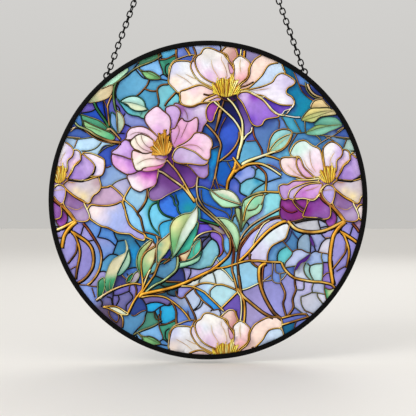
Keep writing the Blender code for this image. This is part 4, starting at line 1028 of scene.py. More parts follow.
def picture():
    """Everything drawn on the pane, from back to front."""
    return [
        *GROUND_LEFT,
        *GROUND_RIGHT,
        *LEAVES_LEFT,
        *LEAVES_RIGHT,
        *SWOOSHES,
        *STEMS,
        *PINK_FLOWER,
        *TOP_FLOWER,
        *RIGHT_FLOWER,
        *stamens(
            ((5.2, 66.4), (11, 64.5), (17.2, 66.2)),
            ((3.4, 67), (2.8, 73.2), (5.4, 75.6), (8.2, 78.2), (12, 77.2), (15, 79), (18, 76.6), (20, 73),
             (20.6, 68.6)),
            33, ("lemon", "straw", "lemon", "amber", "lemon"),
        ),
        *stamens(
            ((-30.6, 28.4), (-27.6, 27.8), (-24.6, 29.2)),
            ((-34.8, 28), (-36, 31.6), (-35.2, 35.4), (-32.8, 39.6), (-30, 43), (-27, 44), (-24.8, 40.2),
             (-23, 36), (-22.6, 32)),
            35, ("amber", "gold", "amber", "straw", "amber"),
        ),
        *stamens(
            ((72.8, 11), (76, 10.4), (79, 12.4)),
            ((69.6, 14), (70, 17.6), (72.2, 20.4), (74.2, 23), (76, 22.4), (78, 23.2), (79.4, 20.4),
             (80.3, 16.4)),
            25, ("straw", "lemon", "amber", "lemon"),
        ),
        vine("tan-gilt", 1.1, 1.4, (-25.8, 25.2), (-22.5, 21.5), (-20.1, 18.9), (-17, 14.2), (-13.9, 8.9),
             (-11.9, 5.1), (-9.8, 1.8), (-8.1, -0.9)),
        vine("sand-gilt", 1.4, 1.5, (-30.8, 18.2), (-28, 17), (-23.4, 13.7), (-17.2, 9.3), (-14.3, 6.5),
             (-11.7, 3.3), (-8.3, -1.3)),
    ]


# ---------------------------------------------------------------- the ground

# The ground's broad patches: the middle of each and its colours. The cell at the middle runs from
# the first colour to the second, and the cells about it choose among them all.
PATCHES = (
    # The top and the upper left.
    ((2, 98), "c9d4f0 b8c4ea 8a98dc"),
    ((-11.5, 95), "6a8fd0 7a8fd8 5f78cc"),
    ((-25, 93), "5ab4e0 6cc0e6 4a9fd8"),
    ((-24.5, 88), "7a86d0 6f8cd4 5a78c8"),
    ((-38, 91), "5a9a80 70a890 4f9070"),
    ((-46, -77), "5a94c0 4a88b8 5a9cc8"),
    ((-36.5, 83), "78b4ea 8cc0ee 6aa8e4"),
    ((-26, 82.4), "3f9a80 4aa48c 2a5a90"),
    ((-27, 76), "5f9ad8 6aa8e0 5590d0"),
    ((-48, 73), "5298c0 6cacd0 60a4c8"),
    ((-34, 71.5), "509cc4 5ca8cc 4894bc"),
    ((-36, 63), "4894bc 54a0c4 60a8c8"),
    ((-25, 67), "7cc4d4 6ec8d8 66bcd0"),
    ((-61.5, 62), "5a5ab0 6a6ab8 5050a8"),
    ((-68, 57), "1f4fb8 0f2fa0 2a5cc0"),
    ((-54.5, 59), "6a6ab8 5a5ab4 7474c0"),
    ((-48, 50), "8490cc 7484c8 6a78c4"),
    ((-52, 44), "5a5ac0 6a6cc8 4f50b8"),
    # The left.
    ((-83, 42), "3a5aa8 4a6ab4 3a6ab8"),
    ((-88, 36), "a4c4e4 b4d0ec 94b8dc"),
    ((-75, 35.5), "bcdcf4 acd0ee a9c8c0"),
    ((-64, 28), "2f4ab0 3a5ab8 2a429c"),
    ((-62, 14), "9cbce0 88acd8 6a88d0"),
    ((-56, 17), "7494d0 9cb8dc 88a8d8"),
    ((-57, 2.5), "b8b4d4 a8a8d0 9cb4d8"),
    ((-70.3, 0.8), "b890b8 b494bc a888b0"),
    ((-62.5, 3), "c4a4c0 b89cc0 b498bc"),
    ((-45, 1), "a8d4ec 7cb4e0 5a90d0"),
    ((-34.5, -2), "5ab8d0 48a8d0 3a90d0"),
    ((-24, -3), "3a78e0 2f70d8 1f68c8"),
    ((-14, -3), "1f74cc 1a90b0 1478a8"),
    ((-33, -11), "78d0f0 6cc8ec 3aa8d8"),
    ((-47, -11), "98d0f8 80c8f0 62c8ee"),
    ((-27.5, -17), "3aa8d8 58b8e0 2f98cc"),
    ((-46, -30), "2f7098 3a80a8 34789c"),
    # The bowed cells at the left edge.
    ((-94, -28), "b8b0d4 aca4d0 a49ccc"),
    ((-87, -28), "9d98d6 9088d0 8a84cc"),
    ((-84, -39), "8f88cc 9a90d0 8480c8"),
    ((-76.5, -36), "9088cc 8480c4 9a94d8"),
    ((-70, -38), "6f98d8 7ca0dc 8498d8"),
    ((-63, -30), "98a0dc 5088d0 7a98dc"),
    ((-63, -39), "4a90bc 5a9cc8 6aa4cc"),
    ((-66, -48), "a098cc 9890c8 8f88cc"),
    ((-78, -57), "88a0e4 8f9ce0 7f94dc"),
    # The lower left.
    ((-48, -44.8), "5080c4 4a74bc 4a68c0"),
    ((-58.5, -50), "34346c 44448c 2a2a58"),
    ((-52, -57), "6a62b4 7a70bc 8a84c4"),
    ((-53.5, -64), "7470ac 5c5c90 6860a8"),
    ((-44, -66), "1c3c80 34448c 2a4c8c"),
    ((-34, -61.8), "70649c 665c98 5c5494"),
    ((-34, -66.6), "18a8dc 28a4e4 3ab0e0"),
    ((-36, -74), "3f8070 4a8c78 386a68"),
    ((-60, -73), "5a4a68 3a58b8 5a94c0"),
    ((-30, -55), "0f5a60 1f5a70 14606a"),
    ((-27, -44), "4a84ac 5f98b8 5a80b0"),
    ((-20, -63), "8c9cb8 7480c0 8898b8"),
    ((-19, -47.5), "232c6c 2c3878 1c2860"),
    ((-23, -52.4), "1a4a48 1f5a50 144040"),
    ((-25.5, -57.4), "1c4c60 2a4a68 16485c"),
    ((-18.5, -57), "8a8ad0 9492d4 7f80c8"),
    ((-9, -51), "d4dcd8 dce4e0 c8d8e0"),
    ((-26, -71), "1fa8dc 30b0e4 28a0dc"),
    ((-10, -46), "b4b0d8 8f8cd8 a4a0d8"),
    # The round form and the blue about it.
    ((-7.5, -39.5), "6a9cb8 5a90b0 6aa8bc"),
    ((-4, -22.3), "585c8c 666a98 484880"),
    ((5.5, -23), "8a68d0 9070d8 a090d8"),
    ((3, -30), "7fc0c8 78b0cc 84b8d0"),
    ((12, -29), "70b8e8 60b0dc 5a80d0"),
    ((10, -40), "60b0cc 6ab8d4 5aa8c8"),
    ((-2, -17), "6a50c8 5a48c0 4a50a0"),
    ((2, -8), "3a58c0 1f68c0 2a60c0"),
    ((15.5, -8.5), "3a78c8 3068c0 4a50a0"),
    ((25, -46), "98cce8 8cc4e4 a4d0ea"),
    ((6, -48), "d0e4ec dce4e4 c4dce8"),
    ((1, -56), "b4c8f0 b4e0ec a8d0ec"),
    ((1, -63.5), "2a90e0 3a9ce4 4aa8e4"),
    ((-10, -62), "b8c4e4 b4cce4 c4d8f4"),
    ((15.5, -65), "7058b8 6450b0 5a48ac"),
    ((28, -59), "948cc8 a094cc 988fd0"),
    ((28, -72), "a498c8 9890c8 a094cc"),
    ((43, -63), "8c8ccc 9494d4 9894d0"),
    ((32, -40.5), "d4b8dc c8b0d8 b8a8d8"),
    ((38, -45), "7c88cc 7480c8 5f8fd0"),
    # The lower right.
    ((54, -23), "4a84b8 46709c 5a90c0"),
    ((48.5, -34.5), "58b8c4 70d0d0 60c0c8"),
    ((41.5, -31), "5a94c8 6ca0d0 5088bc"),
    ((59, -27), "94b0c8 84a0c0 98b8d0"),
    ((65.2, -30.5), "7884c0 8890c8 98a4d4"),
    ((69.3, -25.5), "98a4d8 a0a8d4 a8b0dc"),
    ((73, -29), "d0d0e0 c8c4d4 c8c8e0"),
    ((75, -21.5), "a49cd8 9c94d4 a8a4dc"),
    ((71, -14.6), "b4bcdc a8b4d8 b4bcdc"),
    ((56, -36), "b8c0e0 a8b8e0 b0c4e4"),
    ((67, -37), "a4b8e0 98b4e0 8cb0dc"),
    ((10.3, -34.3), "6a90d8 5a80d0 7098d8"),
    ((30, -15.6), "78b8d0 6aa8b8 84c0d4"),
    ((24.4, -20.6), "78b0d0 70a4c8 84bcd4"),
    ((-75.5, 58.5), "6a5ab8 7464c0 5a4cb0"),
    ((66, -15.5), "c8c8d0 b8bcc8 c8c8d4"),
    ((52, -44), "4a6ab4 5a78bc 6a90bc"),
    ((58, -46), "dce4ec b8c0e0 c8d0e8"),
    ((62, -44.5), "acd4d4 a4d8d0 b4dcd8"),
    ((74.5, -44), "8a70bc 7a6ac0 9080c4"),
    ((62, -54.5), "b4bcdc b4a8d8 a8b4d8"),
    ((66, -63.5), "c8c8d8 b8c4dc e4e0ec"),
    ((55, -71), "7a84c4 5a68c0 6a78c4"),
    # The blue in the middle and towards the right.
    ((13, 43), "3458c8 2444ac 3460cc"),
    ((9, 49), "16287c 1c3490 14206c"),
    ((1, 42), "2456a0 1c4c94 1a60a4"),
    ((3, 49), "2c4484 34508c 203878"),
    ((13.5, 60.5), "0a0834 142080 0a1050"),
    ((15, 28.5), "2340a8 1f3a9c 1c4cb4"),
    ((6, 8.6), "2446a8 1c3a98 2a50b4"),
    ((27, 39.4), "4a5ac0 5a6cc8 4454b8"),
    ((26, 31), "549cc8 68b0d0 4c94c0"),
    ((37, 43), "5878b8 5080b8 5c88c4"),
    ((50.5, 34.5), "68b4d8 78c0e0 60acd4"),
    ((3, 27), "0f86c8 1478c0 0f5fb8"),
    ((10, 19.6), "0f5fb8 1a50b0 10309a"),
    ((23.5, 16.5), "8498dc a0b0e8 94a8e0"),
    ((32.5, 17), "64aacc 70b4d4 68b0d4"),
    ((40.6, 15.4), "6490d0 78a4dc 5c88cc"),
    ((25.7, 8.6), "74bcd0 6cb4cc 9cc4e4"),
    ((41, 8), "7aa8d8 6a88dc 7f98dc"),
    ((38, -5), "86dce4 90e0e8 7cd0e0"),
    ((40, 1.5), "8cd8e4 84d0e0 a4dce8"),
    ((17, 8.5), "3c58bc 5c74cc 4a60cc"),
    ((-2, 11), "3c50b0 3048a8 485cbc"),
    ((1.5, 16.4), "1f7fc4 1a70bc 1f78c4"),
    # The upper right.
    ((57, 62), "0a78a8 0a8aa0 0a6a90"),
    ((51, 83), "0a6a90 0a5a88 0a78a0"),
    ((60, 75), "5a6fc4 5aa4d0 5088c8"),
    ((66, 64), "1a2a70 24347c 141f60"),
    ((46, 48), "6a90d4 4f98c8 5a9cd0"),
    ((58, 48), "2a80b0 348ab8 2474a8"),
    ((63, 38), "4a84b8 4074ac 5a90c0"),
    ((58, 36), "4a84b8 4074ac 5a90c0"),
    ((72, 34), "4a80b4 4478b0 5a8cbc"),
    ((51, 49), "3f98b8 4aa4c0 3f90c0"),
)

# Soft washes of another colour inside one ground cell: where, how wide and which.
WASHES = (
    (27.5, -11.4, 4, "a898dc"), (33, -7.6, 3, "a4bce8"), (-12.5, -5.4, 3.4, "149098"),
    (-23, -63, 3.4, "6a74c4"), (5.5, 38, 3, "14143c"), (12.5, 55, 3, "0c1250"), (5.5, 33, 2.5, "2a3448"),
    (19, 17.2, 2.6, "3a58b4"), (17.6, 7.8, 2.2, "6878d4"), (31, 12, 2.4, "2a90bc"),
    (52.6, 57, 3, "3a68a8"), (80, 39, 4, "8ca4c4"), (41.5, 21.5, 4.5, "5c7cc8"), (38, 49, 4, "3a5498"),
    (-46.6, -34.6, 5.5, "0c90d4"), (5, 18, 2.5, "103c84"), (5, 11.5, 2.5, "1c2450"),
)


def patch_gaps(points):
    """How far each point lies from each patch's middle, in whichever repeat is nearest."""
    middles = np.array([middle for middle, _ in PATCHES], float)
    gaps = (points[:, None] - middles + REPEAT / 2) % REPEAT - REPEAT / 2
    return np.hypot(gaps[..., 0], gaps[..., 1])


def blended(points):
    """The patches' first colours blended by the inverse fifth power of their distance."""
    tones = np.array([tones_of(codes)[0] for _, codes in PATCHES])
    weight = np.maximum(patch_gaps(points), 0.5) ** -5.0
    return weight @ tones / weight.sum(1)[:, None]


# ---------------------------------------------------------------- laying the picture out


@dataclass
class Laid:
    """A blade where one of its repeats lies."""

    outline: np.ndarray
    shift: np.ndarray
    blade: Blade


@dataclass
class Line:
    """A line on the pane: its stations with their widths and shares of its length, its tone, how many
    blades lie under it, and whether its ends are free."""

    path: np.ndarray
    width: np.ndarray
    share: np.ndarray
    tone: str
    level: int
    free: bool = False


def repeats(path):
    """The shifts by which a path's repeats reach the disc."""
    middle = (path.min(0) + path.max(0)) / 2
    reach = np.hypot(*(path.max(0) - middle)) + GLASS_RADIUS_MM
    shifts = [np.array([i, j]) * REPEAT for i in (-1, 0, 1) for j in (-1, 0, 1)]
    return [shift for shift in shifts if np.hypot(*(middle + shift)) < reach]


def laid_out():
    """Every blade and line of the picture in every repeat, from back to front."""
    blades, lines = [], []
    for item in picture():
        if isinstance(item, Stroke):
            path = item.path()
            share = np.linspace(0, 1, len(path))
            width = item.start + (item.end - item.start) * share
            for shift in repeats(path):
                lines.append(Line(path + shift, width, share, item.tone, len(blades), True))
            continue
        outline = item.outline()
        for shift in repeats(outline):
            blades.append(Laid(outline + shift, shift, item))
            edge = np.full(len(outline), item.line)
            share = np.linspace(0, 1, len(outline))
            lines.append(Line(outline + shift, edge, share, item.edge, len(blades)))
            for path in item.crease_paths():
                share = np.linspace(0, 1, len(path))
                taper = 0.42 * np.sin(0.5 + 2.2 * share)
                lines.append(Line(path + shift, taper, share, item.edge, len(blades)))
    return blades, lines


def lengthened(line, reach):
    """The line with both its ends carried straight on, so that it meets what it nearly touches."""
    path = line.path
    ends = []
    for end, before in ((path[0], path[1]), (path[-1], path[-2])):
        ends.append(end + reach * (end - before) / np.hypot(*(end - before)))
    path = np.vstack([ends[0], path, ends[1]])
    width, share = (np.concatenate([each[:1], each, each[-1:]]) for each in (line.width, line.share))
    return Line(path, width, share, line.tone, line.level)


def visible(lines, blades, limit, reach=0.0):
    """The stretches of the lines that no blade over them hides, each a station longer at its ends."""
    shown = []
    for line in lines:
        if reach and line.free:
            line = lengthened(line, reach)
        low, high = line.path.min(0), line.path.max(0)
        hidden = np.hypot(*line.path.T) > limit
        for laid in blades[line.level :]:
            if (laid.outline.max(0) > low).all() and (laid.outline.min(0) < high).all():
                hidden |= inside(line.path, laid.outline)
        clear = ~hidden
        clear[1:] |= ~hidden[:-1]
        clear[:-1] |= ~hidden[1:]
        clear &= np.hypot(*line.path.T) < limit + STATION
        ends = np.flatnonzero(np.diff(np.concatenate([[0], clear, [0]])))
        for start, end in ends.reshape(-1, 2):
            if end - start > 2:
                part = slice(start, end)
                shown.append(Line(line.path[part], line.width[part], line.share[part], line.tone, line.level))
    return shown


# ---------------------------------------------------------------- mesh helpers


def mesh_object(name, points, faces, smooth=True):
    """A mesh object at the origin, from points in metres and lists of corners."""
    mesh = bpy.data.meshes.new(name)
    mesh.from_pydata(points.tolist(), [], faces)
    mesh.validate()
    mesh.polygons.foreach_set("use_smooth", [smooth] * len(mesh.polygons))
    made = bpy.data.objects.new(name, mesh)
    bpy.context.scene.collection.objects.link(made)
    return made


def on_pane(points, height):
    """Plane points and heights over the front of the glass, in metres in the frame."""
    out = np.broadcast_to(GLASS_FACE_MM + height, len(points))
    spots = np.column_stack([points[:, 0], -out, points[:, 1]]) * MM
    return spots + np.array(DISC_CENTRE)


def colour_layer(made, colours, domain):
    layer = made.data.color_attributes.new("enamel", "FLOAT_COLOR", domain)
    full = np.column_stack([linear(np.clip(colours, 0, 1)), np.ones(len(colours))])
    layer.data.foreach_set("color", full.astype(np.float32).ravel())


def settle(made, material, replaced=()):
    """Gives a piece its finish and its body, and hides the CAD nodes that it stands for."""
    made.data.materials.append(material)
    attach(made, "root")
    if replaced:
        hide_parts(*replaced)
    return made


# ---------------------------------------------------------------- the pane


def cut_pane(lines):
    """The disc cut into triangles along the lines: points, triangles, and the two triangles beside
    each edge that no line runs along."""
    turn = np.linspace(0, 2 * np.pi, BORDER_STEPS, endpoint=False)
    border = GLASS_RADIUS_MM * np.column_stack([np.cos(turn), np.sin(turn)])
    paths = [line.path for line in lines]
    marks = np.vstack([border, *paths])
    span = np.arange(-GLASS_RADIUS_MM, GLASS_RADIUS_MM, GRAIN)
    rows, columns = np.meshgrid(span, span * np.sqrt(0.75), indexing="ij")
    rows = rows + np.where(np.arange(len(span)) % 2, GRAIN / 2, 0)
    inner = np.column_stack([rows.ravel(), columns.ravel()])
    inner = inner[np.hypot(*inner.T) < GLASS_RADIUS_MM - FROM_BORDER]
    inner = inner[nearest_distance(inner, marks, 2 * GRAIN) > FROM_LINE]
    ring = np.arange(len(border))
    edges = [np.column_stack([ring, np.roll(ring, -1)])]
    start = len(border)
    for path in paths:
        steps = np.arange(start, start + len(path) - 1)
        edges.append(np.column_stack([steps, steps + 1]))
        start += len(path)
    every = np.vstack([marks, inner])
    points, found, triangles, _, sources, _ = delaunay_2d_cdt(
        every.tolist(), np.vstack(edges).tolist(), [], 0, WELD, True
    )
    points, triangles = np.array(points), np.array(triangles)
    centres = points[triangles].mean(1)
    triangles = triangles[inside(centres, np.vstack([border, border[:1]]))]
    # A side is known by one number, made of its two corners. One that two triangles share is free
    # where no line lies on it.
    number = np.array([len(points), 1])
    drawn = np.sort(np.array(found), axis=1)[np.array([len(source) > 0 for source in sources])] @ number
    sides = np.sort(triangles[:, [0, 1, 1, 2, 2, 0]].reshape(-1, 2), axis=1) @ number
    owner = np.repeat(np.arange(len(triangles)), 3)
    order = np.argsort(sides, kind="stable")
    sides, owner = sides[order], owner[order]
    free = np.flatnonzero((sides[1:] == sides[:-1]) & ~np.isin(sides[1:], drawn))
    used, again = np.unique(triangles, return_inverse=True)
    return points[used], again.reshape(-1, 3), np.column_stack([owner[free], owner[free + 1]])


def cells_of(pairs, count):
    """Numbers the cells: triangles that meet across a free edge take the lower number of the two,
    until nothing changes."""
    label = np.arange(count)
    while True:
        low = label[pairs].min(1)
        lowest = label.copy()
        np.minimum.at(lowest, pairs[:, 0], low)
        np.minimum.at(lowest, pairs[:, 1], low)
        lowest = lowest[lowest]
        if (lowest == label).all():
            return np.unique(label, return_inverse=True)[1]
        label = lowest


def ground_colours(points, corners, labels):
    """Each cell runs from one of its patch's colours to another, with painted shade: lighter towards the
    lower right and darker at the upper left, as if shaded by the raised line there.
    """
    count = labels.max() + 1
    centres = points[corners].mean(1)
    own = np.full(count, -1)
    for patch, (spot, _) in enumerate(PATCHES):
        for shift in repeats(np.array([spot], float)):
            gap = np.hypot(*(centres - spot - shift).T)
            if gap.min() < KNOWN_WITHIN:
                own[labels[gap.argmin()]] = patch
    weight = np.bincount(labels, minlength=count)
    middle = np.column_stack([np.bincount(labels, centres[:, k], count) / weight for k in (0, 1)])
    gap = np.hypot(*(centres - middle[labels]).T)
    radius = 1.0 + 1.5 * np.bincount(labels, gap, count) / weight
    # Painted shade: the lighter second colour mostly faces the lower right, away from the line's shade.
    heading = rng.normal(-0.9, 0.9, count)
    painted_light_facing = np.column_stack([np.cos(heading), np.sin(heading)])
    first, second = np.empty((count, 3)), np.empty((count, 3))
    for cell, patch in enumerate(patch_gaps(middle).argmin(1)):
        known = own[cell] >= 0
        tones = tones_of(PATCHES[own[cell] if known else patch][1])
        pick = (0, 1) if known else rng.integers(0, len(tones), 2)
        first[cell] = tones[pick[0]] * rng.uniform(0.94, 1.0)
        second[cell] = mix(tones[pick[0]], tones[pick[1]], 0.7) * rng.uniform(1.0, 1.1)
    spots = points[corners]
    slide = ((spots - middle[labels][:, None]) * painted_light_facing[labels][:, None]).sum(2) / radius[labels][:, None]
    colours = mix(first[labels][:, None], second[labels][:, None], ease(slide, -1.1, 1.1))
    wide = (radius > WIDE_CELL)[labels]
    colours[wide] = blended(spots[wide].reshape(-1, 2)).reshape(-1, 3, 3)
    for u, v, spread, code in WASHES:
        for shift in repeats(np.array([[u, v]])):
            spot = shift + (u, v)
            gap = np.hypot(*(centres - spot).T)
            if gap.min() < KNOWN_WITHIN:
                mine = labels == labels[gap.argmin()]
                reach = np.hypot(spots[mine, :, 0] - spot[0], spots[mine, :, 1] - spot[1])
                colours[mine] = mix(colours[mine], shade(code), 0.9 * np.exp(-((reach / spread) ** 2)))
    return colours


def pane_colours(points, triangles, pairs, blades, marks):
    """The enamel's colour at each triangle's corners, with painted shade beside the lines and painted
    shadows under the blades, and each point's distance to its line.
    """
    centres = points[triangles].mean(1)
    owner = np.full(len(triangles), -1)
    for index, laid in enumerate(blades):
        owner[inside(centres, laid.outline)] = index
    spots = points[triangles] * 0.98 + centres[:, None] * 0.02
    distance = nearest_distance(points, marks, 4.0)
    colours = np.empty(spots.shape[:2] + (3,))
    ground = owner < 0
    labels = cells_of(pairs, len(triangles))[ground]
    labels = np.unique(labels, return_inverse=True)[1]
    colours[ground] = ground_colours(points, triangles[ground], labels)
    for index, laid in enumerate(blades):
        mine = owner == index
        if mine.any():
            colours[mine] = laid.blade.paint(spots[mine] - laid.shift)
    # Painted shade: each colour deepens beside its line, where the raised bead would shade it, and what
    # lies under a blade takes the blade's painted soft shadow, cast towards the lower right.
    line_shade = 1 - ease(distance[triangles], 0.2, 1.9)
    shaded_colours = colours**1.35 * 0.8
    depth = np.where(ground, 0.62, 0.36)[:, None]
    colours = mix(colours, shaded_colours, depth * line_shade)
    flat = spots.reshape(-1, 2)
    level = np.repeat(owner, 3)
    painted_shadow = np.zeros(len(flat))
    for shift in SHADOW_STEPS:
        moved = flat + np.array(shift)
        covered = np.zeros(len(flat), bool)
        for index, laid in enumerate(blades):
            covered |= inside(moved, laid.outline) & (index > level)
        painted_shadow += covered / len(SHADOW_STEPS)
    # The painted shadow darkens each colour towards a deep blue shade.
    dusk = colours.reshape(-1, 3)
    shadow_colour = dusk**1.6 * np.array([0.5, 0.48, 0.62])
    dusk = mix(dusk, shadow_colour, 0.62 * painted_shadow)
    streaks = 1 + 0.05 * (ripple(flat, 3.2, 1.1) - 0.5) + 0.04 * (ripple(flat, 1.4, 4.0) - 0.5)
    return (dusk * streaks[:, None]).reshape(colours.shape), distance


def make_pane(blades, cuts, lines, material):
    """One closed disc: the front swells a little inside each cell, and the back is flat."""
    points, triangles, pairs = cut_pane(cuts)
    a, b, c = points[triangles].transpose(1, 0, 2)
    turned = (b[:, 0] - a[:, 0]) * (c[:, 1] - a[:, 1]) < (b[:, 1] - a[:, 1]) * (c[:, 0] - a[:, 0])
    triangles[turned] = triangles[turned][:, ::-1]
    marks = np.vstack([line.path for line in lines])
    colours, distance = pane_colours(points, triangles, pairs, blades, marks)
    radius = np.hypot(*points.T)
    swell = SWELL * ease(distance, 0.9, 3.6) * (1 - ease(radius, *SWELL_END))
    count = len(points)
    front = on_pane(points, swell)
    back = on_pane(points, -2 * GLASS_FACE_MM)
    sides = triangles[:, [0, 1, 1, 2, 2, 0]].reshape(-1, 2)
    key = np.sort(sides, axis=1) @ np.array([count, 1])
    once = np.isin(key, np.unique(key)[np.unique(key, return_counts=True)[1] == 1])
    start, end = sides[once].T
    wall = np.column_stack([start, start + count, end + count, end])
    faces = triangles.tolist() + (triangles[:, ::-1] + count).tolist() + wall.tolist()
    pane = mesh_object("painted_pane", np.vstack([front, back]), faces)
    edge = np.full((4 * len(wall), 3), 0.35)
    front_colours = colours.reshape(-1, 3)
    back_colours = colours[:, ::-1].reshape(-1, 3)
    milky = mix(back_colours, np.array([0.86, 0.88, 0.93]), np.full(len(back_colours), 0.22))
    colour_layer(pane, np.vstack([front_colours, milky, edge]), "CORNER")
    return settle(pane, material, ("glass_disc",))


# ---------------------------------------------------------------- raised lines

# Each tone of line: its light, middle and dark colours.
TONES = {
    "gilt": "ffe6a0 e2b04a a26c22",
    "gold": "fac450 e2a028 ac7216",
    "pale": "fffad8 fbeeac e6c87c",
    "bronze": "c89450 8c5c28 4c2e10",
    "tan": "dcae6c b48446 6e4a22",
    "khaki": "c8ba7c 9a8c56 5c5030",
    "umber": "a8743a 6f431c 3c220f",
    "rust": "a85a30 7a3416 481c0c",
    "wine": "a82848 7c1438 4c0a24",
    "slate": "54746c 30504c 182c2a",
    "dusk": "5c5c9c 484a84 34346c",
    "ivory": "fffdf4 f6eedc dccbaa",
    "olive": "a8a468 74744a 3f4428",
    "pine": "5aa890 2c6a5c 10362e",
    "moss": "86a062 4a6c3c 223c1c",
    "fir": "3f8f5c 1c6238 0c3a20",
    "sage": "cfd3a0 9fb07a 5f7a4a",
    "sand": "e0c9a0 bfa478 8a7048",
    "lemon": "fff4a8 fbe04a f0c02c",
    "straw": "fdf0b0 ecc860 d0a038",
    "amber": "f0b848 d09022 9c661a",
    "black": "3a3028 1f1814 0f0b09",
}

FINE_LINE = 0.45
POLLEN = ("lemon", "straw", "amber")
# The bead's section: offsets as shares of its half width, and heights as shares of its crown.
BEAD_SIDE = np.array([-1.0, -0.62, 0.0, 0.62, 1.0])
BEAD_RISE = np.array([0.0, 0.8, 1.0, 0.8, 0.0])
# How far the beads and traces stand in the glass, so that no gap shows under them.
SUNK = 0.3


def directions(path):
    """The unit direction of travel at each station."""
    ahead = np.gradient(path, axis=0)
    return ahead / np.maximum(np.hypot(*ahead.T), 1e-9)[:, None]


def every_station(line, values):
    """The same row of values at each of the line's stations."""
    return np.broadcast_to(np.array(values), (len(line.path), len(values)))


def strip(path, half, side, height):
    """A section carried along a plane path: offsets across it times the half width, heights as given.

    The rings' points are returned with the faces between neighbouring rings and the two ends.
    """
    ahead = directions(path)
    across = np.column_stack([-ahead[:, 1], ahead[:, 0]])
    points = path[:, None] + across[:, None] * (half[:, None] * side)[..., None]
    rings, sides = side.shape
    ring = np.arange(rings - 1)[:, None] * sides
    k = np.arange(sides)
    after = (k + 1) % sides
    quads = np.stack([ring + k, ring + sides + k, ring + sides + after, ring + after], -1)
    ends = np.stack([k, (rings - 1) * sides + k[::-1]])
    return points.reshape(-1, 2), height.reshape(-1), quads.reshape(-1, 4), ends


def line_mesh(name, lines, section, tint, depth=0.0):
    """All lines' strips as one mesh, with the tint of each station at its points."""
    spots, heights, quads, ends, colours = [], [], [], [], []
    start = 0
    for number, line in enumerate(lines):
        half, side, height, path = section(line)
        points, rise, walls, caps = strip(path, half, side, height)
        spots.append(points)
        heights.append(rise)
        quads.append(walls + start)
        ends.append(caps + start)
        colours.append(tint(line, number, side).reshape(-1, 3))
        start += len(points)
    faces = np.vstack(quads).tolist() + np.vstack(ends).tolist()
    made = mesh_object(name, on_pane(np.vstack(spots), np.concatenate(heights) + depth), faces)
    colour_layer(made, np.vstack(colours), "POINT")
    return made


def bead_section(line):
    """Half round: as high as a quarter millimetre and a third of its width, low at both ends."""
    count = len(line.path)
    place = np.arange(count)
    nip = np.minimum(1.0, 0.55 + 0.45 * np.minimum(place, count - 1 - place))
    half = line.width / 2 * nip
    crown = np.minimum(0.22 + 0.34 * line.width, 0.85) * nip
    height = np.where(BEAD_RISE > 0, crown[:, None] * BEAD_RISE, -SUNK)
    return half, every_station(line, BEAD_SIDE), height, line.path


def trace_and_shadow_section(line):
    """A flat black trace, wider than its bead and drawn a little towards the lower right, so that it also
    stands for the bead's painted shadow.
    """
    half = 0.74 * line.width + 0.06
    side = every_station(line, (-1.0, 1.0, 0.0))
    height = every_station(line, (0.05, 0.05, -SUNK))
    return half, side, height, line.path + (0.12 + 0.07 * line.width.max()) * np.array([1.0, -1.1])


def back_section(line):
    """The same line as a low bead on the back of the glass."""
    side = every_station(line, (-1.0, 0.0, 1.0))
    return line.width / 2, side, every_station(line, (-0.05, 0.2, -0.05)), line.path


def bead_tint(line, number, side):
    """The gold varies slowly along the lines, and a line with two tones runs from the first to the second.
    Painted highlight and shade, as if lit from the upper left: each bead is a little lighter on its crown
    and darker towards its sides, most on the lower right."""
    share = ripple(line.path, 7.0, 0.3) * 0.75 + 0.25 * ripple(line.path + number, 2.5, 2.0)
    names = line.tone.split("-")
    first, last = (ramp(tones_of(TONES[name]), share) for name in (names[0], names[-1]))
    colours = mix(first, last, ease(line.share, 0.1, 0.9))
    # Painted highlight and shade, lit from the upper left.
    lit = directions(line.path) @ np.array([0.8, 0.6])
    painted_light = 1.08 + 0.2 * lit[:, None] * side - 0.5 * side**2
    return colours[:, None] * painted_light[..., None]


def trace_and_shadow_tint(_line, _number, side):
    return np.tile(shade("070505"), (side.size, 1))


def make_lines(lines, gilt, black):
    """Raised beads and black traces, which are partly painted shadow, in two pieces each, and the low
    lines of the back.
    """
    groups = {
        "blade_outlines": [line for line in lines if line.level > 0],
        "ground_outlines": [line for line in lines if line.level == 0],
    }
    for name, group in groups.items():
        settle(line_mesh(name, group, bead_section, bead_tint), gilt)
        backed = [line for line in group if line.width.max() > FINE_LINE and line.tone not in POLLEN]
        trace = line_mesh(name.replace("outlines", "traces"), backed, trace_and_shadow_section, trace_and_shadow_tint)
        settle(trace, black)
    back = line_mesh("back_outlines", lines, back_section, bead_tint, -2 * GLASS_FACE_MM)
    settle(back, gilt)


# ---------------------------------------------------------------- rim, eyes, chain and ring


def turned(name, profile, steps):
    """A closed section, as radius and depth, turned round the disc's axis. Depth is towards the back."""
    profile = np.array(profile)
    turn = np.linspace(0, 2 * np.pi, steps, endpoint=False)[:, None]
    radius, depth = profile.T
    across, up = radius * np.sin(turn), radius * np.cos(turn)
    points = np.stack([across, np.broadcast_to(depth, across.shape), up], -1)
    ring = np.arange(steps)[:, None] * len(profile)
    following = np.roll(ring, -1, axis=0)
    k = np.arange(len(profile))
    after = np.roll(k, -1)
    quads = np.stack([ring + k, following + k, following + after, ring + after], -1).reshape(-1, 4)
    return mesh_object(name, points.reshape(-1, 3) + np.array(DISC_CENTRE), quads.tolist())


def corner(radius, depth, size, start, steps=5):
    """A quarter circle round a corner's own centre, from a start angle."""
    turn = start + np.linspace(0, np.pi / 2, steps)
    return [(radius + size * np.cos(t), depth + size * np.sin(t)) for t in turn]


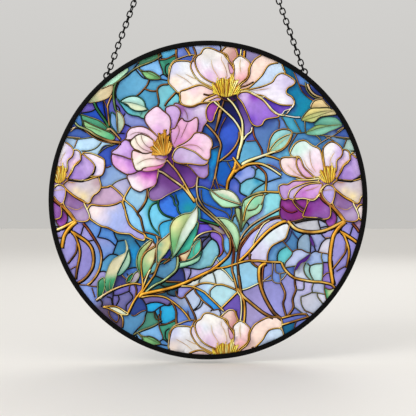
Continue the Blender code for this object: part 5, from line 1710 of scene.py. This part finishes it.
def make_rim(material):
    """The channel: a rounded outer wall and two rounded lips, with the groove for the glass."""
    inner = RIM_RADIUS - RIM_FACE
    groove = RIM_RADIUS - RIM_OUTER_WALL
    outside = 0.6 * MM
    lip = 0.35 * MM
    edge = RIM_HALF_DEPTH
    profile = [
        *corner(RIM_RADIUS - outside, -edge + outside, outside, -np.pi / 2),
        *corner(RIM_RADIUS - outside, edge - outside, outside, 0.0),
        *corner(inner + lip, edge - lip, lip, np.pi / 2),
        (inner, GROOVE_HALF_WIDTH),
        (groove, GROOVE_HALF_WIDTH),
        (groove, -GROOVE_HALF_WIDTH),
        (inner, -GROOVE_HALF_WIDTH),
        *corner(inner + lip, -edge + lip, lip, np.pi),
    ]
    rim = turned("rim_channel_turned", profile, RIM_STEPS)
    rim.data.set_sharp_from_angle(angle=np.radians(35))
    return settle(rim, material, ("rim_channel",))


def wire(path, normals, radius, sides, closed):
    """A round wire: circles about each station, in the plane of the path's normal and its own third
    direction. Open ends are capped."""
    path, normals = np.array(path), np.array(normals)
    third = np.array([0.0, 1.0, 0.0])
    turn = np.linspace(0, 2 * np.pi, sides, endpoint=False)
    spread = np.cos(turn)[:, None] * normals[:, None] + np.sin(turn)[:, None] * third
    points = path[:, None] + radius * spread
    rings = len(path)
    ring = np.arange(rings if closed else rings - 1)[:, None] * sides
    following = (ring + sides) % (rings * sides)
    k = np.arange(sides)
    after = np.roll(k, -1)
    quads = np.stack([ring + k, ring + after, following + after, following + k], -1).reshape(-1, 4).tolist()
    if not closed:
        quads += [k[::-1].tolist(), ((rings - 1) * sides + k).tolist()]
    return points.reshape(-1, 3), quads


def eye_centre(angle):
    reach = RIM_RADIUS + FIT_GAP + EYE_FOOT
    return DISC_CENTRE + Vector((reach * np.sin(angle), 0.0, reach * np.cos(angle)))


def make_eye(word, angle, material):
    """A bent wire staple whose feet reach the rim, with a mound of solder round each foot."""
    turn = np.linspace(0, np.pi, 20)
    bend = np.column_stack([np.cos(turn), 0 * turn, np.sin(turn)]) * EYE_BEND_RADIUS
    foot = np.array([[EYE_BEND_RADIUS, 0, -EYE_FOOT - FIT_GAP]])
    path = np.vstack([foot, bend, foot * [-1, 1, 1]])
    outward = np.vstack([[1, 0, 0], bend / EYE_BEND_RADIUS, [-1, 0, 0]])
    points, faces = wire(path, outward, EYE_WIRE / 2, sides=14, closed=False)
    sides, rings = 20, 7
    around = np.linspace(0, 2 * np.pi, sides, endpoint=False)
    level = np.linspace(0.0, 1.0, rings)[:, None]
    swell = 1.25 * MM * np.cos(level * np.pi / 2) ** 0.7 + 0.3 * MM
    for side in (-1, 1):
        mound = np.stack([
            side * EYE_BEND_RADIUS + swell * np.cos(around),
            swell * np.sin(around),
            np.broadcast_to(-EYE_FOOT - 2 * FIT_GAP + 1.1 * MM * level, (rings, sides)),
        ], -1).reshape(-1, 3)
        start = len(points)
        ring = start + np.arange(rings - 1)[:, None] * sides
        k = np.arange(sides)
        after = np.roll(k, -1)
        quads = np.stack([ring + k, ring + after, ring + sides + after, ring + sides + k], -1)
        faces = faces + quads.reshape(-1, 4).tolist()
        faces += [(start + k[::-1]).tolist(), (start + (rings - 1) * sides + k).tolist()]
        points = np.vstack([points, mound])
    lean = np.array(Matrix.Rotation(angle, 3, "Y"))
    eye = mesh_object(f"eye_{word}_wire", points @ lean.T + np.array(eye_centre(angle)), faces)
    eye.data.set_sharp_from_angle(angle=np.radians(50))
    return settle(eye, material, (f"eye_{word}",))


def make_chain(word, angle, material):
    """A leg of oval links, each a quarter turn from the next, with a slow twist that fades out at
    both ends of the leg."""
    foot = eye_centre(angle)
    along = (RING_CENTRE - foot).normalized()
    first = EYE_BEND_RADIUS - EYE_WIRE / 2 - FIT_GAP - LINK_WIRE / 2
    last = (RING_CENTRE - foot).length - (RING_RADIUS - RING_WIRE / 2 - FIT_GAP - LINK_WIRE / 2)
    pitch = (last - first - LINK_WIRE + LINK_BITE) / LINKS_PER_LEG
    start = first + (pitch - LINK_BITE + LINK_WIRE) / 2
    radius = (LINK_WIDTH - LINK_WIRE) / 2
    straight = (pitch - LINK_BITE + LINK_WIRE) / 2 - radius
    turn = np.linspace(0, np.pi, 9)
    top = np.column_stack([radius * np.cos(turn), 0 * turn, straight + radius * np.sin(turn)])
    outline = np.vstack([top, top * [-1, 1, -1]])
    outward = np.column_stack([np.cos(turn), 0 * turn, np.sin(turn)])
    link, quads = wire(outline, np.vstack([outward, -outward]), LINK_WIRE / 2, sides=8, closed=True)
    quads = np.array(quads)
    lean = Vector((0.0, 0.0, 1.0)).rotation_difference(along).to_matrix().to_4x4()
    points, faces = [], []
    for i in range(LINKS_PER_LEG):
        fade = np.sin(np.pi * i / (LINKS_PER_LEG - 1))
        swing = TWIST_SWING * fade * np.sin(2 * np.pi * i / TWIST_PERIOD)
        spin = Matrix.Rotation(np.pi / 2 * ((i + 1) % 2) + swing, 4, "Z")
        place = np.array(Matrix.Translation(foot + along * (start + i * pitch)) @ lean @ spin)
        points.append(link @ place[:3, :3].T + place[:3, 3])
        faces.append(quads + i * len(link))
    chain = mesh_object(f"chain_{word}_links", np.vstack(points), np.vstack(faces).tolist())
    return settle(chain, material, (f"chain_{word}",))


def make_ring(material):
    """The hanging ring: a round wire bent to a circle in the disc's plane."""
    turn = np.linspace(0, 2 * np.pi, 72, endpoint=False)
    outward = np.column_stack([np.cos(turn), 0 * turn, np.sin(turn)])
    points, faces = wire(outward * RING_RADIUS, outward, RING_WIRE / 2, sides=18, closed=True)
    ring = mesh_object("hanging_ring_wire", points + np.array(RING_CENTRE), faces)
    return settle(ring, material, ("hanging_ring",))


# ---------------------------------------------------------------- finishes


def new_material(name):
    material = bpy.data.materials.new(name)
    material.use_nodes = True
    return material, material.node_tree.nodes["Principled BSDF"]


def add(material, kind, settings=(), **links):
    """Adds a node, sets its values and links its inputs, which are named with _ for a space."""
    node = material.node_tree.nodes.new(kind)
    for key, value in dict(settings).items():
        if isinstance(key, str) and hasattr(node, key):
            setattr(node, key, value)
        else:
            node.inputs[key].default_value = value
    for key, source in links.items():
        socket = node.inputs[int(key[1:])] if key[1:].isdigit() else node.inputs[key.replace("_", " ")]
        material.node_tree.links.new(source, socket)
    return node


def bump_from(material, shader, source, distance, strength):
    bump = add(material, "ShaderNodeBump", {"Strength": strength, "Distance": distance}, Height=source)
    material.node_tree.links.new(bump.outputs["Normal"], shader.inputs["Normal"])


def enamelled_glass():
    """Soda glass under fired enamels, which are laid so dense that nothing behind the pane shows:
    glossy, and rippled as rolled glass is."""
    material, shader = new_material("enamelled_glass")
    place = add(material, "ShaderNodeTexCoord").outputs["Object"]
    paint = add(material, "ShaderNodeAttribute", {"attribute_name": "enamel"}).outputs["Color"]
    noise = add(material, "ShaderNodeTexNoise", {"Scale": 260.0, "Detail": 2.0}, Vector=place)
    ripples = noise.outputs["Fac"]
    cloud = add(material, "ShaderNodeMapRange", {"To Min": 0.94, "To Max": 1.06}, Value=ripples)
    multiply = {"data_type": "RGBA", "blend_type": "MULTIPLY", 0: 1.0}
    tinted = add(material, "ShaderNodeMix", multiply, _6=paint, _7=cloud.outputs["Result"])
    material.node_tree.links.new(tinted.outputs[2], shader.inputs["Base Color"])
    shader.inputs["IOR"].default_value = 1.52
    shader.inputs["Specular IOR Level"].default_value = 0.2
    shader.inputs["Roughness"].default_value = 0.16
    bump_from(material, shader, ripples, 0.0003, 0.25)
    return material


def gilt_relief():
    """Raised gilt outlining paste: gold lustre over a hard bead, a little uneven from the nozzle."""
    material, shader = new_material("gilt_relief")
    place = add(material, "ShaderNodeTexCoord").outputs["Object"]
    paint = add(material, "ShaderNodeAttribute", {"attribute_name": "enamel"}).outputs["Color"]
    material.node_tree.links.new(paint, shader.inputs["Base Color"])
    shader.inputs["Metallic"].default_value = 0.55
    shader.inputs["Roughness"].default_value = 0.34
    grain = add(material, "ShaderNodeTexNoise", {"Scale": 900.0, "Detail": 2.0}, Vector=place).outputs["Fac"]
    bump_from(material, shader, grain, 0.0001, 0.3)
    return material


def black_trace_and_shadow():
    """Fired black tracing enamel, drawn thin, which also stands for the beads' painted shadows: a satin
    black with a brown cast.
    """
    material, shader = new_material("black_trace_and_shadow")
    paint = add(material, "ShaderNodeAttribute", {"attribute_name": "enamel"}).outputs["Color"]
    material.node_tree.links.new(paint, shader.inputs["Base Color"])
    shader.inputs["Roughness"].default_value = 0.5
    shader.inputs["Specular IOR Level"].default_value = 0.1
    return material


def black_metal(name, light, dark, metallic, roughness, grain_mm, depth):
    """Blackened steel: the colour wanders between two near blacks, over a fine pebbled skin."""
    material, shader = new_material(name)
    place = add(material, "ShaderNodeTexCoord").outputs["Object"]
    noise = add(material, "ShaderNodeTexNoise", {"Scale": 1.0 / (grain_mm * MM), "Detail": 3.0}, Vector=place)
    blacks = {"data_type": "RGBA", 6: rgba(dark), 7: rgba(light)}
    colour = add(material, "ShaderNodeMix", blacks, _0=noise.outputs["Fac"])
    material.node_tree.links.new(colour.outputs[2], shader.inputs["Base Color"])
    shader.inputs["Metallic"].default_value = metallic
    shader.inputs["Roughness"].default_value = roughness
    shader.inputs["Specular IOR Level"].default_value = 0.08
    bump_from(material, shader, noise.outputs["Fac"], depth, 0.35)
    return material


# ---------------------------------------------------------------- stage


def make_stage():
    """A wide pale table just under the disc, pale air all round, a large soft key and a fill."""
    level = float(rim_low.z) - 2 * MM
    reach = 4.0
    corners = np.array([[-1, -1, 0], [1, -1, 0], [1, 1, 0], [-1, 1, 0]]) * reach + [0, 0, level]
    floor = mesh_object("pale_table", corners, [[0, 1, 2, 3]])
    material, shader = new_material("matt_table_paint")
    shader.inputs["Base Color"].default_value = rgba("ece9e4")
    shader.inputs["Roughness"].default_value = 0.6
    floor.data.materials.append(material)
    world = bpy.data.worlds.new("pale_air")
    world.use_nodes = True
    background = world.node_tree.nodes["Background"]
    background.inputs["Strength"].default_value = 0.8
    heading = add(world, "ShaderNodeTexCoord").outputs["Generated"]
    height = add(world, "ShaderNodeSeparateXYZ", Vector=heading).outputs["Z"]
    lift = add(world, "ShaderNodeMapRange", {"From Min": 0.0, "From Max": 0.4}, Value=height)
    greys = {"data_type": "RGBA", 6: rgba("d9d7d3"), 7: rgba("f4f3f1")}
    air = add(world, "ShaderNodeMix", greys, _0=lift.outputs["Result"])
    world.node_tree.links.new(air.outputs[2], background.inputs["Color"])
    bpy.context.scene.world = world
    for name, place, size, power in (
        ("key", (-0.75, -1.0, 0.45), 0.7, 8.2),
        ("fill", (0.9, -1.0, 0.0), 1.0, 3.0),
        ("rim_light", (0.3, 0.9, 0.5), 0.8, 3.0),
    ):
        light = bpy.data.lights.new(name, "AREA")
        light.energy = power
        light.size = size
        lamp = bpy.data.objects.new(name, light)
        lamp.location = place
        aim = DISC_CENTRE - Vector(place)
        lamp.rotation_euler = aim.to_track_quat("-Z", "Y").to_euler()
        bpy.context.scene.collection.objects.link(lamp)


def make_camera():
    """Level with the disc and square to it, near enough to fill most of the width."""
    lens = bpy.data.cameras.new("camera")
    lens.lens = 85.0
    lens.sensor_width = 36.0
    view_width = 261.7 * MM
    distance = lens.lens / lens.sensor_width * view_width
    camera = bpy.data.objects.new("camera", lens)
    camera.location = DISC_CENTRE + Vector((0.0, -distance, -5.0 * MM))
    camera.rotation_euler = (np.pi / 2, 0.0, 0.0)
    bpy.context.scene.collection.objects.link(camera)
    bpy.context.scene.camera = camera


def main():
    make_camera()
    make_stage()
    bpy.context.scene.view_settings.view_transform = "Standard"
    blades, lines = laid_out()
    shown = visible(lines, blades, BEAD_LIMIT)
    make_pane(blades, visible(lines, blades, CUT_LIMIT, JOIN), shown, enamelled_glass())
    make_lines(shown, gilt_relief(), black_trace_and_shadow())
    make_rim(black_metal("black_enamelled_steel", "070606", "020202", 0.0, 0.45, 0.5, 0.00004))
    wire_finish = black_metal("blackened_wire", "181716", "080808", 0.3, 0.45, 0.25, 0.00003)
    for word, angle in EYE_ANGLES.items():
        make_eye(word, angle, wire_finish)
        make_chain(word, angle, wire_finish)
    make_ring(wire_finish)


main()
